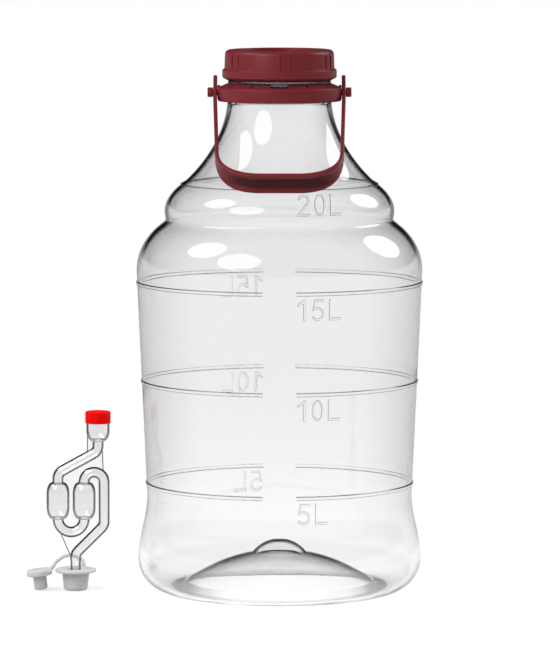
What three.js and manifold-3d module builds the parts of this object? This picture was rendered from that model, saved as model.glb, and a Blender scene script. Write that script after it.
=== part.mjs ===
// A wide-mouth 20-litre demijohn of clear PET with a carrying handle and a screw cap, and beside it the
// two-bubble airlock that was taken out of the cap, standing in its silicone bung.
// Millimetres, +Z up. The origin is on the standing surface, at the centre of the set's footprint.
import * as THREE from "three";
import { mergeVertices } from "three/addons/utils/BufferGeometryUtils.js";
import Module from "manifold-3d";

const wasm = await Module();
wasm.setup();

// Clearances
const seatGap = 0.3; // between pieces that rest on or sit in each other
const pivotGap = 0.3; // round the handle's pivots
const threadGap = 0.6; // radial, between the cap's thread and the neck
const stemGap = 0.37; // between the bung's bore and the thin end of the airlock's stem
const standGap = 25; // between the jar's widest point and the airlock

// The jar, a blown shell. Heights are stacked from the floor, radii are of the outside.
const jar = {
  footInner: 96.2,
  footOuter: 105.3,
  bellyRadius: 136.7,
  bellyHeight: 32.6,
  waistRadius: 127.6,
  waistHeight: 93.7,
  wallTopRadius: 137.4,
  wallTop: 310.4,
  valleyRadius: 108.4,
  lowerShoulderRise: 48.4,
  upperShoulderRadius: 110.4,
  upperShoulderRise: 8.5,
  neckRootRadius: 91.7,
  neckRootRise: 28,
  neckRise: 75.9,
  bodyWall: 1.2,
  neckWall: 2.4,
  baseWall: 2,
  sides: 36,
};
// How full the jar's curves are, as shares of the rise or the run of each.
const fullness = {
  foot: 0.56,
  belly: 0.38,
  waist: 0.37,
  wallTop: 0.47,
  valleyRun: 0.52,
  valley: 0.2,
  upperShoulder: 0.3,
  shoulder: 0.4,
  neckRootRun: 0.57,
  neckRoot: 0.27,
  flareRun: 0.45,
  flare: 0.22,
  neckRun: 0.925,
  neck: 0.58,
};
// The push-up in the jar's base: a wide dome with a small one on it.
const punt = {
  radius: 89.6,
  rise: 7.1,
  heel: 2,
  crownRadius: 25.6,
  crownRise: 34.7,
  tipRadius: 6.5,
  tipRise: 47,
};
// Raised measuring bands, broken at the front and the back.
const mark = { heights: [105.2, 203.8, 299], height: 4, proud: 0.9, edge: 0.5, bite: 0.5, gap: 30 };
// The neck's finish above the handle's collar.
const finish = {
  radius: 46.4,
  height: 20.2,
  ringProud: 3.1,
  ringHeight: 2,
  seatProud: 0.5,
  seatStep: 3.1,
  seatRise: 3,
};
const thread = {
  starts: 2,
  lead: 12,
  rise: 7,
  depth: 1.5,
  rootHeight: 2.2,
  crestHeight: 1,
  sweep: 200,
  steps: 20,
};

const collar = {
  depth: 11.7,
  height: 15.7,
  coneHeight: 4.3,
  edge: 0.8,
  coneEdge: 1.2,
  wall: 2.4,
  roof: 3,
  slits: 12,
  slitWidth: 1.2,
  slitDepth: 2.6,
  windowWidth: 17.5,
  bossRadius: 7,
  pinHeight: 6.9,
  pinRadius: 3.3,
  headRadius: 4.65,
  headLength: 5.2,
  sides: 48,
};
const bail = {
  reach: 131.5,
  width: 21.9,
  armWidth: 12,
  armThickness: 3.7,
  barThickness: 4.8,
  tail: 16,
  taper: 2.4,
  cornerRise: 38,
  cornerReach: 40,
  cornerGrowth: 8,
  flareLength: 41,
  grooveWidth: 14.4,
  grooveDepth: 2.4,
  grooveLength: 74.9,
  restGap: 0.6,
};
const cap = {
  wall: 4.5,
  roof: 2.2,
  edge: 0.8,
  flangeProud: 1.9,
  flangeEdge: 1,
  flangeBottom: 2.4,
  flangeTop: 8.5,
  panelSink: 0.9,
  panelBottom: 10.3,
  panelDrop: 5.4,
  cornerRadius: 4.4,
  rimWidth: 14.5,
  recessDepth: 4.9,
  ribPairs: 6,
  ribWidth: 3.4,
  ribPitch: 9.7,
  ribTurn: 4.5,
  sides: 48,
};
const seal = { thickness: 1.3, width: 4 };

// The airlock, drawn in the XZ plane from the tip of its stem.
const airlock = {
  tube: 10.7,
  wall: 1.2,
  tipDiameter: 8.4,
  tipLength: 7,
  tipStep: 0.6,
  stemLow: 9.3,
  stemHigh: 10.4,
  stemLength: 31.7,
  riserX: 27.7,
  riserBottom: 62,
  chamberDiameter: 22.2,
  chamberBottom: 68,
  chamberTop: 104,
  chamberCorner: 8,
  rightChamberX: 8.4,
  leftChamberX: -16.8,
  bowlX: 22,
  bowlDiameter: 22.4,
  bowlBottom: 143.8,
  bowlTop: 171.4,
  bowlCorner: 9,
  crossLow: 112.6,
  crossHigh: 134,
  elbow: 9,
  webThickness: 1.3,
  sides: 10,
  steps: 72,
};
const airlockCap = {
  height: 11.5,
  wall: 0.75,
  roof: 1.2,
  edge: 0.8,
  vents: 4,
  ventRadius: 1,
  ventCircle: 7,
  sides: 32,
};
// The silicone bung and the plug that hangs on its strap.
const bung = {
  flangeRadius: 20,
  flangeHeight: 3,
  flangeEdge: 0.7,
  topRadius: 13.3,
  bottomRadius: 11.4,
  height: 20.5,
  edge: 1.6,
  mouthRadius: 8.5,
  mouthDepth: 9.5,
  footFlare: 0.4,
  stemLift: 0.8,
  sides: 32,
};
const plug = {
  headRadius: 12.3,
  headHeight: 6,
  radius: 6.5,
  height: 19.4,
  edge: 1.2,
  gap: 1.2,
  tilt: 6,
  sides: 24,
};
const strap = { width: 4.2, thickness: 2.8, rootX: 6.5, archRise: 10, endGap: 0.9, steps: 18 };

// Heights that several pieces share
const valleyZ = jar.wallTop + jar.lowerShoulderRise;
const shoulderZ = valleyZ + jar.upperShoulderRise;
const neckRootZ = shoulderZ + jar.neckRootRise;
const neckZ = neckRootZ + jar.neckRise;
const collarZ = neckZ + finish.seatRise + seatGap;
const ringZ = collarZ + collar.height + seatGap;
const capZ = ringZ + finish.ringHeight + seatGap;
const lipZ = ringZ + finish.ringHeight + finish.height;
const pinZ = collarZ + collar.pinHeight;
const sealZ = lipZ + seatGap;
const roofZ = sealZ + seal.thickness + seatGap;
const capTop = roofZ + cap.roof + cap.recessDepth;
const threadZ = ringZ + finish.ringHeight + thread.rise;

// Radii that several pieces share
const seatRadius = finish.radius + finish.seatProud;
const neckRadius = seatRadius + finish.seatStep;
const ringRadius = finish.radius + finish.ringProud;
const boreRadius = finish.radius - jar.neckWall;
const collarInside = seatRadius + 2 * seatGap;
const collarRadius = collarInside + collar.depth;
const armInside = collarRadius + 2 * pivotGap;
const capInside = finish.radius + thread.depth + threadGap;
const capRadius = capInside + cap.wall;
const flangeRadius = capRadius + cap.flangeProud;

// Helpers: solids, turned shapes and swept shapes
function toSolid(geometry) {
  const bare = new THREE.BufferGeometry().setAttribute("position", geometry.getAttribute("position"));
  bare.setIndex(geometry.index);
  const merged = mergeVertices(bare, 1e-4);
  const mesh = new wasm.Mesh({
    numProp: 3,
    vertProperties: merged.getAttribute("position").array,
    triVerts: new Uint32Array(merged.index.array),
  });
  return new wasm.Manifold(mesh);
}

function toGeometry(solid) {
  const mesh = solid.getMesh();
  const geometry = new THREE.BufferGeometry();
  geometry.setAttribute("position", new THREE.BufferAttribute(mesh.vertProperties, 3));
  return geometry.setIndex(new THREE.BufferAttribute(mesh.triVerts, 1));
}

const at = (r, z) => new THREE.Vector2(r, z);

// A profile of (radius, height) points, anticlockwise, turned round the Z axis.
function turned(points, sides) {
  return toSolid(new THREE.LatheGeometry(points, sides).rotateX(Math.PI / 2));
}

function closed(points) {
  return [...points, points[0].clone()];
}

function box(sizeX, sizeY, sizeZ, x, y, z) {
  return toSolid(new THREE.BoxGeometry(sizeX, sizeY, sizeZ).translate(x, y, z));
}

// A cylinder along X, from one x to another.
function rodX(radius, fromX, toX, z, sides = 24) {
  const geometry = new THREE.CylinderGeometry(radius, radius, toX - fromX, sides).rotateZ(Math.PI / 2);
  return toSolid(geometry.translate((fromX + toX) / 2, 0, z));
}

// An outline in the XZ plane, given a thickness along Y and centred on that plane.
function plate(shape, thickness, curveSegments = 8) {
  const geometry = new THREE.ExtrudeGeometry(shape, { depth: thickness, bevelEnabled: false, curveSegments });
  return toSolid(geometry.rotateX(Math.PI / 2).translate(0, thickness / 2, 0));
}

function polygon(corners) {
  return new THREE.Shape(corners.map(([x, z]) => at(x, z)));
}

// A 2-D route of lines and arcs, laid in the XZ plane.
class PlanarRoute extends THREE.Curve {
  constructor(path) {
    super();
    this.path = path;
  }
  getPoint(t) {
    const p = this.path.getPoint(t);
    return new THREE.Vector3(p.x, 0, p.y);
  }
}

function ringOutline(radius, sides) {
  const corner = (_, i) => at(radius, 0).rotateAround(at(0, 0), (2 * Math.PI * (i + 0.5)) / sides);
  return new THREE.Shape(Array.from({ length: sides }, corner));
}

function swept(outline, route, steps) {
  return toSolid(new THREE.ExtrudeGeometry(outline, { steps, extrudePath: route, curveSegments: 4 }));
}

// A helical ridge on a wall. Its foot lies inside the wall by the bite, and its ends taper to nothing.
function helicalRidge(wallRadius, crestRadius, startZ, startAngle) {
  const bite = Math.sign(wallRadius - crestRadius) * mark.bite;
  const positions = [];
  const index = [];
  for (let i = 0; i <= thread.steps; i++) {
    const share = i / thread.steps;
    const angle = startAngle + THREE.MathUtils.degToRad(thread.sweep) * share;
    const z = startZ + (thread.lead * thread.sweep * share) / 360;
    const height = Math.min(1, 6 * Math.min(share, 1 - share) + 0.05);
    const crest = THREE.MathUtils.lerp(wallRadius, crestRadius, height);
    const corners = [
      [wallRadius + bite, -thread.rootHeight / 2],
      [crest, -thread.crestHeight / 2],
      [crest, thread.crestHeight / 2],
      [wallRadius + bite, thread.rootHeight / 2],
    ];
    for (const [r, dz] of corners) positions.push(r * Math.cos(angle), r * Math.sin(angle), z + dz);
  }
  const outward = crestRadius > wallRadius;
  const face = (a, b, c) => index.push(...(outward ? [a, b, c] : [a, c, b]));
  for (let i = 0; i < thread.steps; i++) {
    for (let k = 0; k < 4; k++) {
      const a = 4 * i + k;
      const b = 4 * i + ((k + 1) % 4);
      face(a, a + 4, b);
      face(b, a + 4, b + 4);
    }
  }
  const last = 4 * thread.steps;
  face(0, 1, 2);
  face(0, 2, 3);
  face(last, last + 2, last + 1);
  face(last, last + 3, last + 2);
  const geometry = new THREE.BufferGeometry();
  geometry.setAttribute("position", new THREE.Float32BufferAttribute(positions, 3));
  return toSolid(geometry.setIndex(index));
}

function withThread(solid, wallRadius, crestRadius, startZ) {
  for (let start = 0; start < thread.starts; start++) {
    solid = solid.add(helicalRidge(wallRadius, crestRadius, startZ, (2 * Math.PI * start) / thread.starts));
  }
  return solid;
}

// A dome's surface as an arc about the axis, from its edge to its top, as points that run inwards.
function dome(edgeRadius, edgeZ, topRadius, topZ, steps) {
  const [r0, r1] = [edgeRadius, topRadius];
  const centreZ = (r0 ** 2 + edgeZ ** 2 - r1 ** 2 - topZ ** 2) / (2 * (edgeZ - topZ));
  const radius = Math.hypot(r0, edgeZ - centreZ);
  return Array.from({ length: steps + 1 }, (_, i) => {
    const r = THREE.MathUtils.lerp(r0, r1, i / steps);
    return at(r, centreZ + Math.sqrt(radius ** 2 - r ** 2));
  });
}

// The outside of the jar's shell, from the middle of the base to the collar's seat on the neck.
function jarOutside() {
  const wide = dome(punt.radius, punt.rise, punt.crownRadius, punt.crownRise, 5);
  const small = dome(punt.crownRadius, punt.crownRise, punt.tipRadius, punt.tipRise, 4);
  const base = [...wide, ...small.slice(1), at(0, punt.tipRise)].reverse();
  const wall = new THREE.Path();
  wall.moveTo(punt.radius, punt.rise);
  wall.quadraticCurveTo(jar.footInner - punt.heel, 0, jar.footInner, 0);
  wall.lineTo(jar.footOuter, 0);
  wall.bezierCurveTo(
    THREE.MathUtils.lerp(jar.footOuter, jar.bellyRadius, fullness.foot),
    0,
    jar.bellyRadius,
    jar.bellyHeight * (1 - fullness.foot),
    jar.bellyRadius,
    jar.bellyHeight,
  );
  const flare = jar.waistHeight - jar.bellyHeight;
  wall.bezierCurveTo(
    jar.bellyRadius,
    jar.bellyHeight + fullness.belly * flare,
    jar.waistRadius,
    jar.waistHeight - fullness.waist * flare,
    jar.waistRadius,
    jar.waistHeight,
  );
  wall.lineTo(jar.wallTopRadius, jar.wallTop);
  wall.bezierCurveTo(
    jar.wallTopRadius,
    jar.wallTop + fullness.wallTop * jar.lowerShoulderRise,
    THREE.MathUtils.lerp(jar.valleyRadius, jar.wallTopRadius, fullness.valleyRun),
    valleyZ - fullness.valley * jar.lowerShoulderRise,
    jar.valleyRadius,
    valleyZ,
  );
  wall.quadraticCurveTo(
    jar.upperShoulderRadius,
    valleyZ + fullness.upperShoulder * jar.upperShoulderRise,
    jar.upperShoulderRadius,
    shoulderZ,
  );
  wall.bezierCurveTo(
    jar.upperShoulderRadius,
    shoulderZ + fullness.shoulder * jar.neckRootRise,
    THREE.MathUtils.lerp(jar.neckRootRadius, jar.upperShoulderRadius, fullness.neckRootRun),
    neckRootZ - fullness.neckRoot * jar.neckRootRise,
    jar.neckRootRadius,
    neckRootZ,
  );
  wall.bezierCurveTo(
    THREE.MathUtils.lerp(jar.neckRootRadius, neckRadius, fullness.flareRun),
    neckRootZ + fullness.flare * jar.neckRise,
    THREE.MathUtils.lerp(jar.neckRootRadius, neckRadius, fullness.neckRun),
    neckRootZ + fullness.neck * jar.neckRise,
    neckRadius,
    neckZ,
  );
  return [...base, ...wall.getPoints(4).slice(1)];
}

// The outside radius of the shell's upright wall at a height.
function outsideRadius(points, z) {
  const from = points.findIndex((p) => p.x >= jar.footOuter);
  for (let i = points.length - 1; i > from; i--) {
    const [low, high] = [points[i - 1], points[i]];
    if (z >= low.y && z <= high.y) return THREE.MathUtils.mapLinear(z, low.y, high.y, low.x, high.x);
  }
  return seatRadius;
}

// The shell's thickness at a point: thick in the base and the neck, thin in the body.
function wallAt(point) {
  const { lerp, mapLinear } = THREE.MathUtils;
  if (point.y > neckRootZ) return mapLinear(point.y, neckRootZ, neckZ, jar.bodyWall, jar.neckWall);
  if (point.x <= jar.footOuter && point.y < punt.tipRise + jar.baseWall) return jar.baseWall;
  const share = Math.min(1, point.y / jar.bellyHeight);
  return lerp(jar.baseWall, jar.bodyWall, share);
}

// The shell's inside: the outside moved in, square to itself, by the wall.
function inside(points) {
  return points.map((point, i) => {
    if (i === 0) return at(0, point.y + jar.baseWall);
    const along = points[Math.min(i + 1, points.length - 1)].clone().sub(points[i - 1]).normalize();
    return at(point.x - along.y * wallAt(point), point.y + along.x * wallAt(point));
  });
}

function markBand(outside, centreZ) {
  const [low, high] = [centreZ - mark.height / 2, centreZ + mark.height / 2];
  const wall = (z) => outsideRadius(outside, z);
  const band = turned(
    closed([
      at(wall(low) - mark.bite, low),
      at(wall(low) + mark.proud, low + mark.edge),
      at(wall(high) + mark.proud, high - mark.edge),
      at(wall(high) - mark.bite, high),
    ]),
    jar.sides,
  );
  return band.subtract(box(mark.gap, 4 * jar.wallTopRadius, 2 * mark.height, 0, 0, centreZ));
}

function makeJar(outside) {
  const rim = [
    at(seatRadius, neckZ + finish.seatRise),
    at(seatRadius, ringZ),
    at(ringRadius, ringZ),
    at(ringRadius, ringZ + finish.ringHeight),
    at(finish.radius, ringZ + finish.ringHeight),
    at(finish.radius, lipZ),
    at(boreRadius, lipZ),
    at(boreRadius, neckZ + finish.seatRise),
  ];
  let shell = turned([...outside, ...rim, ...inside(outside).reverse()], jar.sides);
  shell = withThread(shell, finish.radius, finish.radius + thread.depth, threadZ);
  for (const z of [...mark.heights, neckRootZ]) shell = shell.add(markBand(outside, z));
  return shell;
}

// The snap-on collar below the neck's ring: a hollow ring with a coned, slit roof and two pivot pins.
function makeCollar() {
  const top = collarZ + collar.height;
  const coneZ = top - collar.coneHeight;
  let ring = turned(
    closed([
      at(collarInside, collarZ),
      at(collarInside + collar.wall, collarZ),
      at(collarInside + collar.wall, coneZ - collar.roof),
      at(collarRadius - collar.wall, coneZ - collar.roof),
      at(collarRadius - collar.wall, collarZ),
      at(collarRadius - collar.edge, collarZ),
      at(collarRadius, collarZ + collar.edge),
      at(collarRadius, coneZ - collar.coneEdge / 2),
      at(collarRadius - collar.coneEdge, coneZ),
      at(ringRadius, top),
      at(collarInside, top),
    ]),
    collar.sides,
  );
  const armOutside = armInside + bail.armThickness;
  for (const side of [-1, 1]) {
    const span = (from, to) => (side > 0 ? [from, to] : [-to, -from]);
    const root = collarRadius - collar.wall;
    const head = armOutside + pivotGap;
    ring = ring.add(rodX(collar.bossRadius, ...span(root, armInside - pivotGap), pinZ));
    ring = ring.add(rodX(collar.pinRadius, ...span(root, head + 1), pinZ));
    ring = ring.add(rodX(collar.headRadius, ...span(head, head + collar.headLength), pinZ));
  }
  for (let i = 0; i < collar.slits; i++) {
    const facesOut = i === 0 || i === collar.slits / 2;
    const width = facesOut ? collar.windowWidth : collar.slitWidth;
    const reach = collarRadius - collarInside;
    const geometry = new THREE.BoxGeometry(width, reach, 2 * collar.slitDepth);
    geometry.translate(0, 1 - collarInside - reach / 2, top).rotateZ((2 * Math.PI * i) / collar.slits);
    ring = ring.subtract(toSolid(geometry));
  }
  return ring;
}

// The swinging handle, drawn hanging straight down from its pivots.
function makeBail() {
  const [arm, wide] = [bail.armWidth / 2, bail.width / 2];
  const end = bail.tail + arm;
  const flat = armInside - bail.taper - bail.cornerReach;
  const legs = (thickness, barDepth, rise) => {
    const shape = new THREE.Shape();
    const [topX, lowX] = [armInside + thickness, armInside + thickness - bail.taper];
    shape.moveTo(topX, end);
    shape.lineTo(topX, -collar.bossRadius - 2);
    shape.lineTo(lowX, rise - barDepth);
    shape.quadraticCurveTo(lowX, -barDepth, flat, -barDepth);
    shape.lineTo(-flat, -barDepth);
    shape.quadraticCurveTo(-lowX, -barDepth, -lowX, rise - barDepth);
    shape.lineTo(-topX, -collar.bossRadius - 2);
    shape.lineTo(-topX, end);
    return shape;
  };
  const [near, far] = [bail.reach - bail.barThickness / 2, bail.reach + bail.barThickness / 2];
  const outer = legs(bail.armThickness, far, bail.cornerRise + bail.cornerGrowth);
  const opening = legs(0, near, bail.cornerRise);
  let strip = plate(outer, bail.width).subtract(plate(opening, 2 * bail.width));

  // Narrow arms with rounded ends that widen into the bar, seen along the pivot axis
  const [flareTop, flareMiddle] = [near - bail.flareLength, near - bail.flareLength / 2];
  const side = new THREE.Shape();
  side.absarc(0, bail.tail, arm, 0, Math.PI);
  side.lineTo(-arm, -flareTop);
  side.bezierCurveTo(-arm, -flareMiddle, -wide, -flareMiddle, -wide, -near);
  side.lineTo(-wide, -bail.reach - bail.barThickness);
  side.lineTo(wide, -bail.reach - bail.barThickness);
  side.lineTo(wide, -near);
  side.bezierCurveTo(wide, -flareMiddle, arm, -flareMiddle, arm, -flareTop);
  const across = 2 * (armInside + bail.armThickness) + 2;
  const rounding = new THREE.ExtrudeGeometry(side, { depth: across, bevelEnabled: false, curveSegments: 10 });
  rounding.translate(0, 0, -across / 2).rotateX(Math.PI / 2).rotateZ(Math.PI / 2);
  strip = strip.intersect(toSolid(rounding));

  const groove = box(bail.grooveLength, bail.grooveWidth, 2 * bail.grooveDepth, 0, 0, -far);
  const hole = rodX(collar.pinRadius + pivotGap, -across, across, 0);
  return strip.subtract(groove).subtract(hole);
}

// How far the handle leans forward at rest: the first angle at which its bar is clear of the shoulder.
function restLean(outside) {
  const [near, half] = [bail.reach - bail.barThickness / 2, bail.width / 2];
  for (let lean = 5; lean < 120; lean += 0.25) {
    const a = THREE.MathUtils.degToRad(lean);
    let gap = Infinity;
    for (let share = -1; share <= 1; share += 0.25) {
      for (const radial of [near, near + bail.barThickness]) {
        const forward = radial * Math.sin(a) + share * half * Math.cos(a);
        const z = pinZ - radial * Math.cos(a) + share * half * Math.sin(a);
        gap = Math.min(gap, forward - outsideRadius(outside, z) - mark.proud);
      }
    }
    if (gap >= bail.restGap) return a;
  }
  return Math.PI / 2;
}

// The screw cap: a ribbed skirt with a sunk top and a hole for the bung.
function makeCap() {
  const rimZ = roofZ + cap.roof;
  const hole = bung.topRadius + seatGap - (bung.topRadius - bung.bottomRadius) / 2;
  const sunk = capRadius - cap.panelSink;
  const recessRadius = capRadius - cap.rimWidth;
  const [panelLow, panelHigh] = [capZ + cap.panelBottom, capTop - cap.panelDrop];
  const corner = new THREE.Path();
  corner.absarc(capRadius - cap.cornerRadius, capTop - cap.cornerRadius, cap.cornerRadius, 0, Math.PI / 2);
  let shell = turned(
    closed([
      at(capInside, capZ),
      at(capInside + cap.edge, capZ),
      at(flangeRadius - cap.flangeEdge, capZ + cap.flangeBottom),
      at(flangeRadius, capZ + cap.flangeBottom + cap.flangeEdge),
      at(flangeRadius, capZ + cap.flangeTop),
      at(sunk, panelLow),
      at(sunk, panelHigh),
      at(capRadius, panelHigh + cap.panelSink),
      ...corner.getPoints(4),
      at(recessRadius + cap.flangeEdge, capTop),
      at(recessRadius, capTop - cap.flangeEdge),
      at(recessRadius, rimZ),
      at(hole, rimZ),
      at(hole, roofZ),
      at(capInside, roofZ),
    ]),
    cap.sides,
  );
  const ribHeight = panelHigh - panelLow + 2 * cap.flangeEdge;
  const ribTurn = THREE.MathUtils.degToRad(cap.ribTurn);
  for (let i = 0; i < cap.ribPairs; i++) {
    for (const side of [-1, 1]) {
      const rib = new THREE.BoxGeometry(cap.ribWidth, 2 * cap.panelSink, ribHeight);
      rib.translate(0, -sunk, (panelLow + panelHigh) / 2);
      rib.rotateZ((2 * Math.PI * i) / cap.ribPairs + (side * cap.ribPitch) / 2 / capRadius + ribTurn);
      shell = shell.add(toSolid(rib));
    }
  }
  const startZ = threadZ - thread.lead / thread.starts / 2;
  return withThread(shell, capInside, capInside - thread.depth, startZ);
}

// The ring that the cap presses on the neck's lip.
function makeSeal() {
  const [inner, outer] = [boreRadius, boreRadius + seal.width];
  const [low, high] = [sealZ, sealZ + seal.thickness];
  const ring = [at(inner, low), at(outer, low), at(outer, high), at(inner, high)];
  return turned(closed(ring), jar.sides);
}

// The airlock's line, from the bowl down through both chambers to the stem.
function airlockRoute() {
  const { elbow, leftChamberX, rightChamberX, riserX, bowlX } = airlock;
  const rise = Math.atan2(airlock.crossHigh - airlock.crossLow, bowlX - leftChamberX);
  const cut = elbow * Math.tan((Math.PI / 2 - rise) / 2);
  const route = new THREE.Path();
  route.moveTo(bowlX, airlock.bowlBottom + airlock.wall);
  route.lineTo(bowlX, airlock.crossHigh + cut);
  route.quadraticCurveTo(
    bowlX,
    airlock.crossHigh,
    bowlX - cut * Math.cos(rise),
    airlock.crossHigh - cut * Math.sin(rise),
  );
  route.lineTo(leftChamberX + cut * Math.cos(rise), airlock.crossLow + cut * Math.sin(rise));
  route.quadraticCurveTo(leftChamberX, airlock.crossLow, leftChamberX, airlock.crossLow - cut);
  route.lineTo(leftChamberX, airlock.chamberBottom);
  const lowBend = (rightChamberX - leftChamberX) / 2;
  route.absarc(leftChamberX + lowBend, airlock.chamberBottom, lowBend, Math.PI, 2 * Math.PI);
  route.lineTo(rightChamberX, airlock.chamberTop);
  const highBend = (riserX - rightChamberX) / 2;
  route.absarc(rightChamberX + highBend, airlock.chamberTop, highBend, Math.PI, 0, true);
  const turn = elbow * Math.tan(Math.PI / 8);
  route.lineTo(riserX, airlock.riserBottom + turn);
  const slant = turn * Math.SQRT1_2;
  route.quadraticCurveTo(riserX, airlock.riserBottom, riserX - slant, airlock.riserBottom - slant);
  const foot = airlock.riserBottom - riserX;
  route.lineTo(slant, foot + slant);
  route.quadraticCurveTo(0, foot, 0, foot - turn);
  route.lineTo(0, airlock.stemLength - 4);
  return new PlanarRoute(route);
}

// A chamber, or its inside when it is shrunk by the wall: a barrel with rounded ends.
function chamber(x, shrink) {
  const radius = airlock.chamberDiameter / 2 - shrink;
  const corner = airlock.chamberCorner - shrink / 2;
  const [low, high] = [airlock.chamberBottom + shrink, airlock.chamberTop - shrink];
  const barrel = new THREE.Path();
  barrel.moveTo(0, low);
  barrel.lineTo(radius - corner, low);
  barrel.absarc(radius - corner, low + corner, corner, -Math.PI / 2, 0);
  barrel.absarc(radius - corner, high - corner, corner, 0, Math.PI / 2);
  barrel.lineTo(0, high);
  return turned(barrel.getPoints(2), 16).translate(x, 0, 0);
}

function bowl(shrink) {
  const radius = airlock.bowlDiameter / 2 - shrink;
  const corner = airlock.bowlCorner - shrink / 2;
  const low = airlock.bowlBottom + shrink;
  const high = airlock.bowlTop + (shrink ? 1 : 0);
  const cup = new THREE.Path();
  cup.moveTo(0, low);
  cup.lineTo(radius - corner, low);
  cup.absarc(radius - corner, low + corner, corner, -Math.PI / 2, 0);
  cup.lineTo(radius, high);
  cup.lineTo(0, high);
  return turned(cup.getPoints(2), 20).translate(airlock.bowlX, 0, 0);
}

function stem(shrink) {
  const over = shrink ? 1 : 0;
  const half = (diameter) => diameter / 2 - shrink;
  return turned(
    [
      at(0, -over),
      at(half(airlock.tipDiameter), -over),
      at(half(airlock.tipDiameter), airlock.tipLength - airlock.tipStep),
      at(half(airlock.stemLow), airlock.tipLength),
      at(half(airlock.stemHigh), airlock.stemLength),
      at(0, airlock.stemLength),
    ],
    20,
  );
}

// The flat web that ties the tubes together, in the plane of the mould's joint.
function airlockWeb() {
  const { leftChamberX, rightChamberX, riserX, bowlX } = airlock;
  const inner = polygon([
    [leftChamberX, airlock.chamberBottom],
    [riserX, airlock.chamberBottom],
    [riserX, airlock.chamberTop],
    [riserX - 1, airlock.crossHigh],
    [bowlX, airlock.crossHigh],
    [leftChamberX, airlock.crossLow],
  ]);
  const lower = polygon([
    [leftChamberX + 2, airlock.chamberBottom - 14],
    [-airlock.stemHigh / 2, airlock.stemLength],
    [0, airlock.stemLength],
    [riserX, airlock.riserBottom],
    [riserX, airlock.chamberBottom],
    [leftChamberX, airlock.chamberBottom],
  ]);
  const upper = polygon([
    [bowlX - airlock.bowlDiameter / 2 + 0.5, airlock.crossHigh - 4],
    [bowlX, airlock.crossHigh],
    [bowlX, airlock.bowlBottom + 3],
    [bowlX - airlock.bowlDiameter / 2 + 0.5, airlock.bowlBottom + airlock.bowlCorner],
  ]);
  const plates = [inner, lower, upper].map((shape) => plate(shape, airlock.webThickness));
  return plates[0].add(plates[1]).add(plates[2]);
}

function makeAirlock() {
  const route = airlockRoute();
  const parts = (shrink) =>
    [
      swept(ringOutline(airlock.tube / 2 - shrink, airlock.sides), route, airlock.steps),
      chamber(airlock.leftChamberX, shrink),
      chamber(airlock.rightChamberX, shrink),
      bowl(shrink),
      stem(shrink),
    ].reduce((whole, piece) => whole.add(piece));
  return parts(0).add(airlockWeb()).subtract(parts(airlock.wall));
}

// The push-on cap over the airlock's bowl, with vents in its top.
function makeAirlockCap() {
  const inner = airlock.bowlDiameter / 2 + seatGap;
  const outer = inner + airlockCap.wall;
  const top = airlock.bowlTop + seatGap + airlockCap.roof;
  const low = top - airlockCap.height;
  let cup = turned(
    [
      at(0, top - airlockCap.roof),
      at(inner, top - airlockCap.roof),
      at(inner, low),
      at(outer, low),
      at(outer, top - airlockCap.edge),
      at(outer - airlockCap.edge, top),
      at(0, top),
    ],
    airlockCap.sides,
  );
  for (let i = 0; i < airlockCap.vents; i++) {
    const { ventRadius, ventCircle, roof, vents } = airlockCap;
    const vent = new THREE.CylinderGeometry(ventRadius, ventRadius, 4 * roof, 8);
    vent.rotateX(Math.PI / 2).translate(ventCircle, 0, top).rotateZ((2 * Math.PI * i) / vents);
    cup = cup.subtract(toSolid(vent));
  }
  return cup.translate(airlock.bowlX, 0, 0);
}

// The bung: a flanged, tapered body whose bore narrows from a wide mouth to a grip on the stem.
function makeBung() {
  const under = bung.height - bung.flangeHeight;
  const grip = airlock.stemLow / 2 + stemGap;
  return turned(
    closed([
      at(grip + bung.footFlare, 0),
      at(bung.bottomRadius - bung.edge, 0),
      at(bung.bottomRadius, bung.edge),
      at(bung.topRadius, under),
      at(bung.flangeRadius - bung.flangeEdge, under),
      at(bung.flangeRadius, under + bung.flangeEdge),
      at(bung.flangeRadius, bung.height - bung.flangeEdge),
      at(bung.flangeRadius - bung.flangeEdge, bung.height),
      at(bung.mouthRadius, bung.height),
      at(grip, bung.height - bung.mouthDepth),
    ]),
    bung.sides,
  );
}

// The plug, drawn upright about its own axis.
function makePlug() {
  const under = plug.height - plug.headHeight;
  return turned(
    [
      at(0, 0),
      at(plug.radius - plug.edge, 0),
      at(plug.radius, plug.edge),
      at(plug.radius, under),
      at(plug.headRadius - plug.edge / 2, under),
      at(plug.headRadius, under + plug.edge / 2),
      at(plug.headRadius, plug.height - plug.edge),
      at(plug.headRadius - plug.edge, plug.height),
      at(0, plug.height),
    ],
    plug.sides,
  );
}

const plugX = -(bung.flangeRadius + plug.headRadius + plug.gap);
const plugTilt = THREE.MathUtils.degToRad(plug.tilt);
const plugLift = plug.radius * Math.sin(plugTilt); // keeps the tilted stem's low edge on the floor

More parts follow.
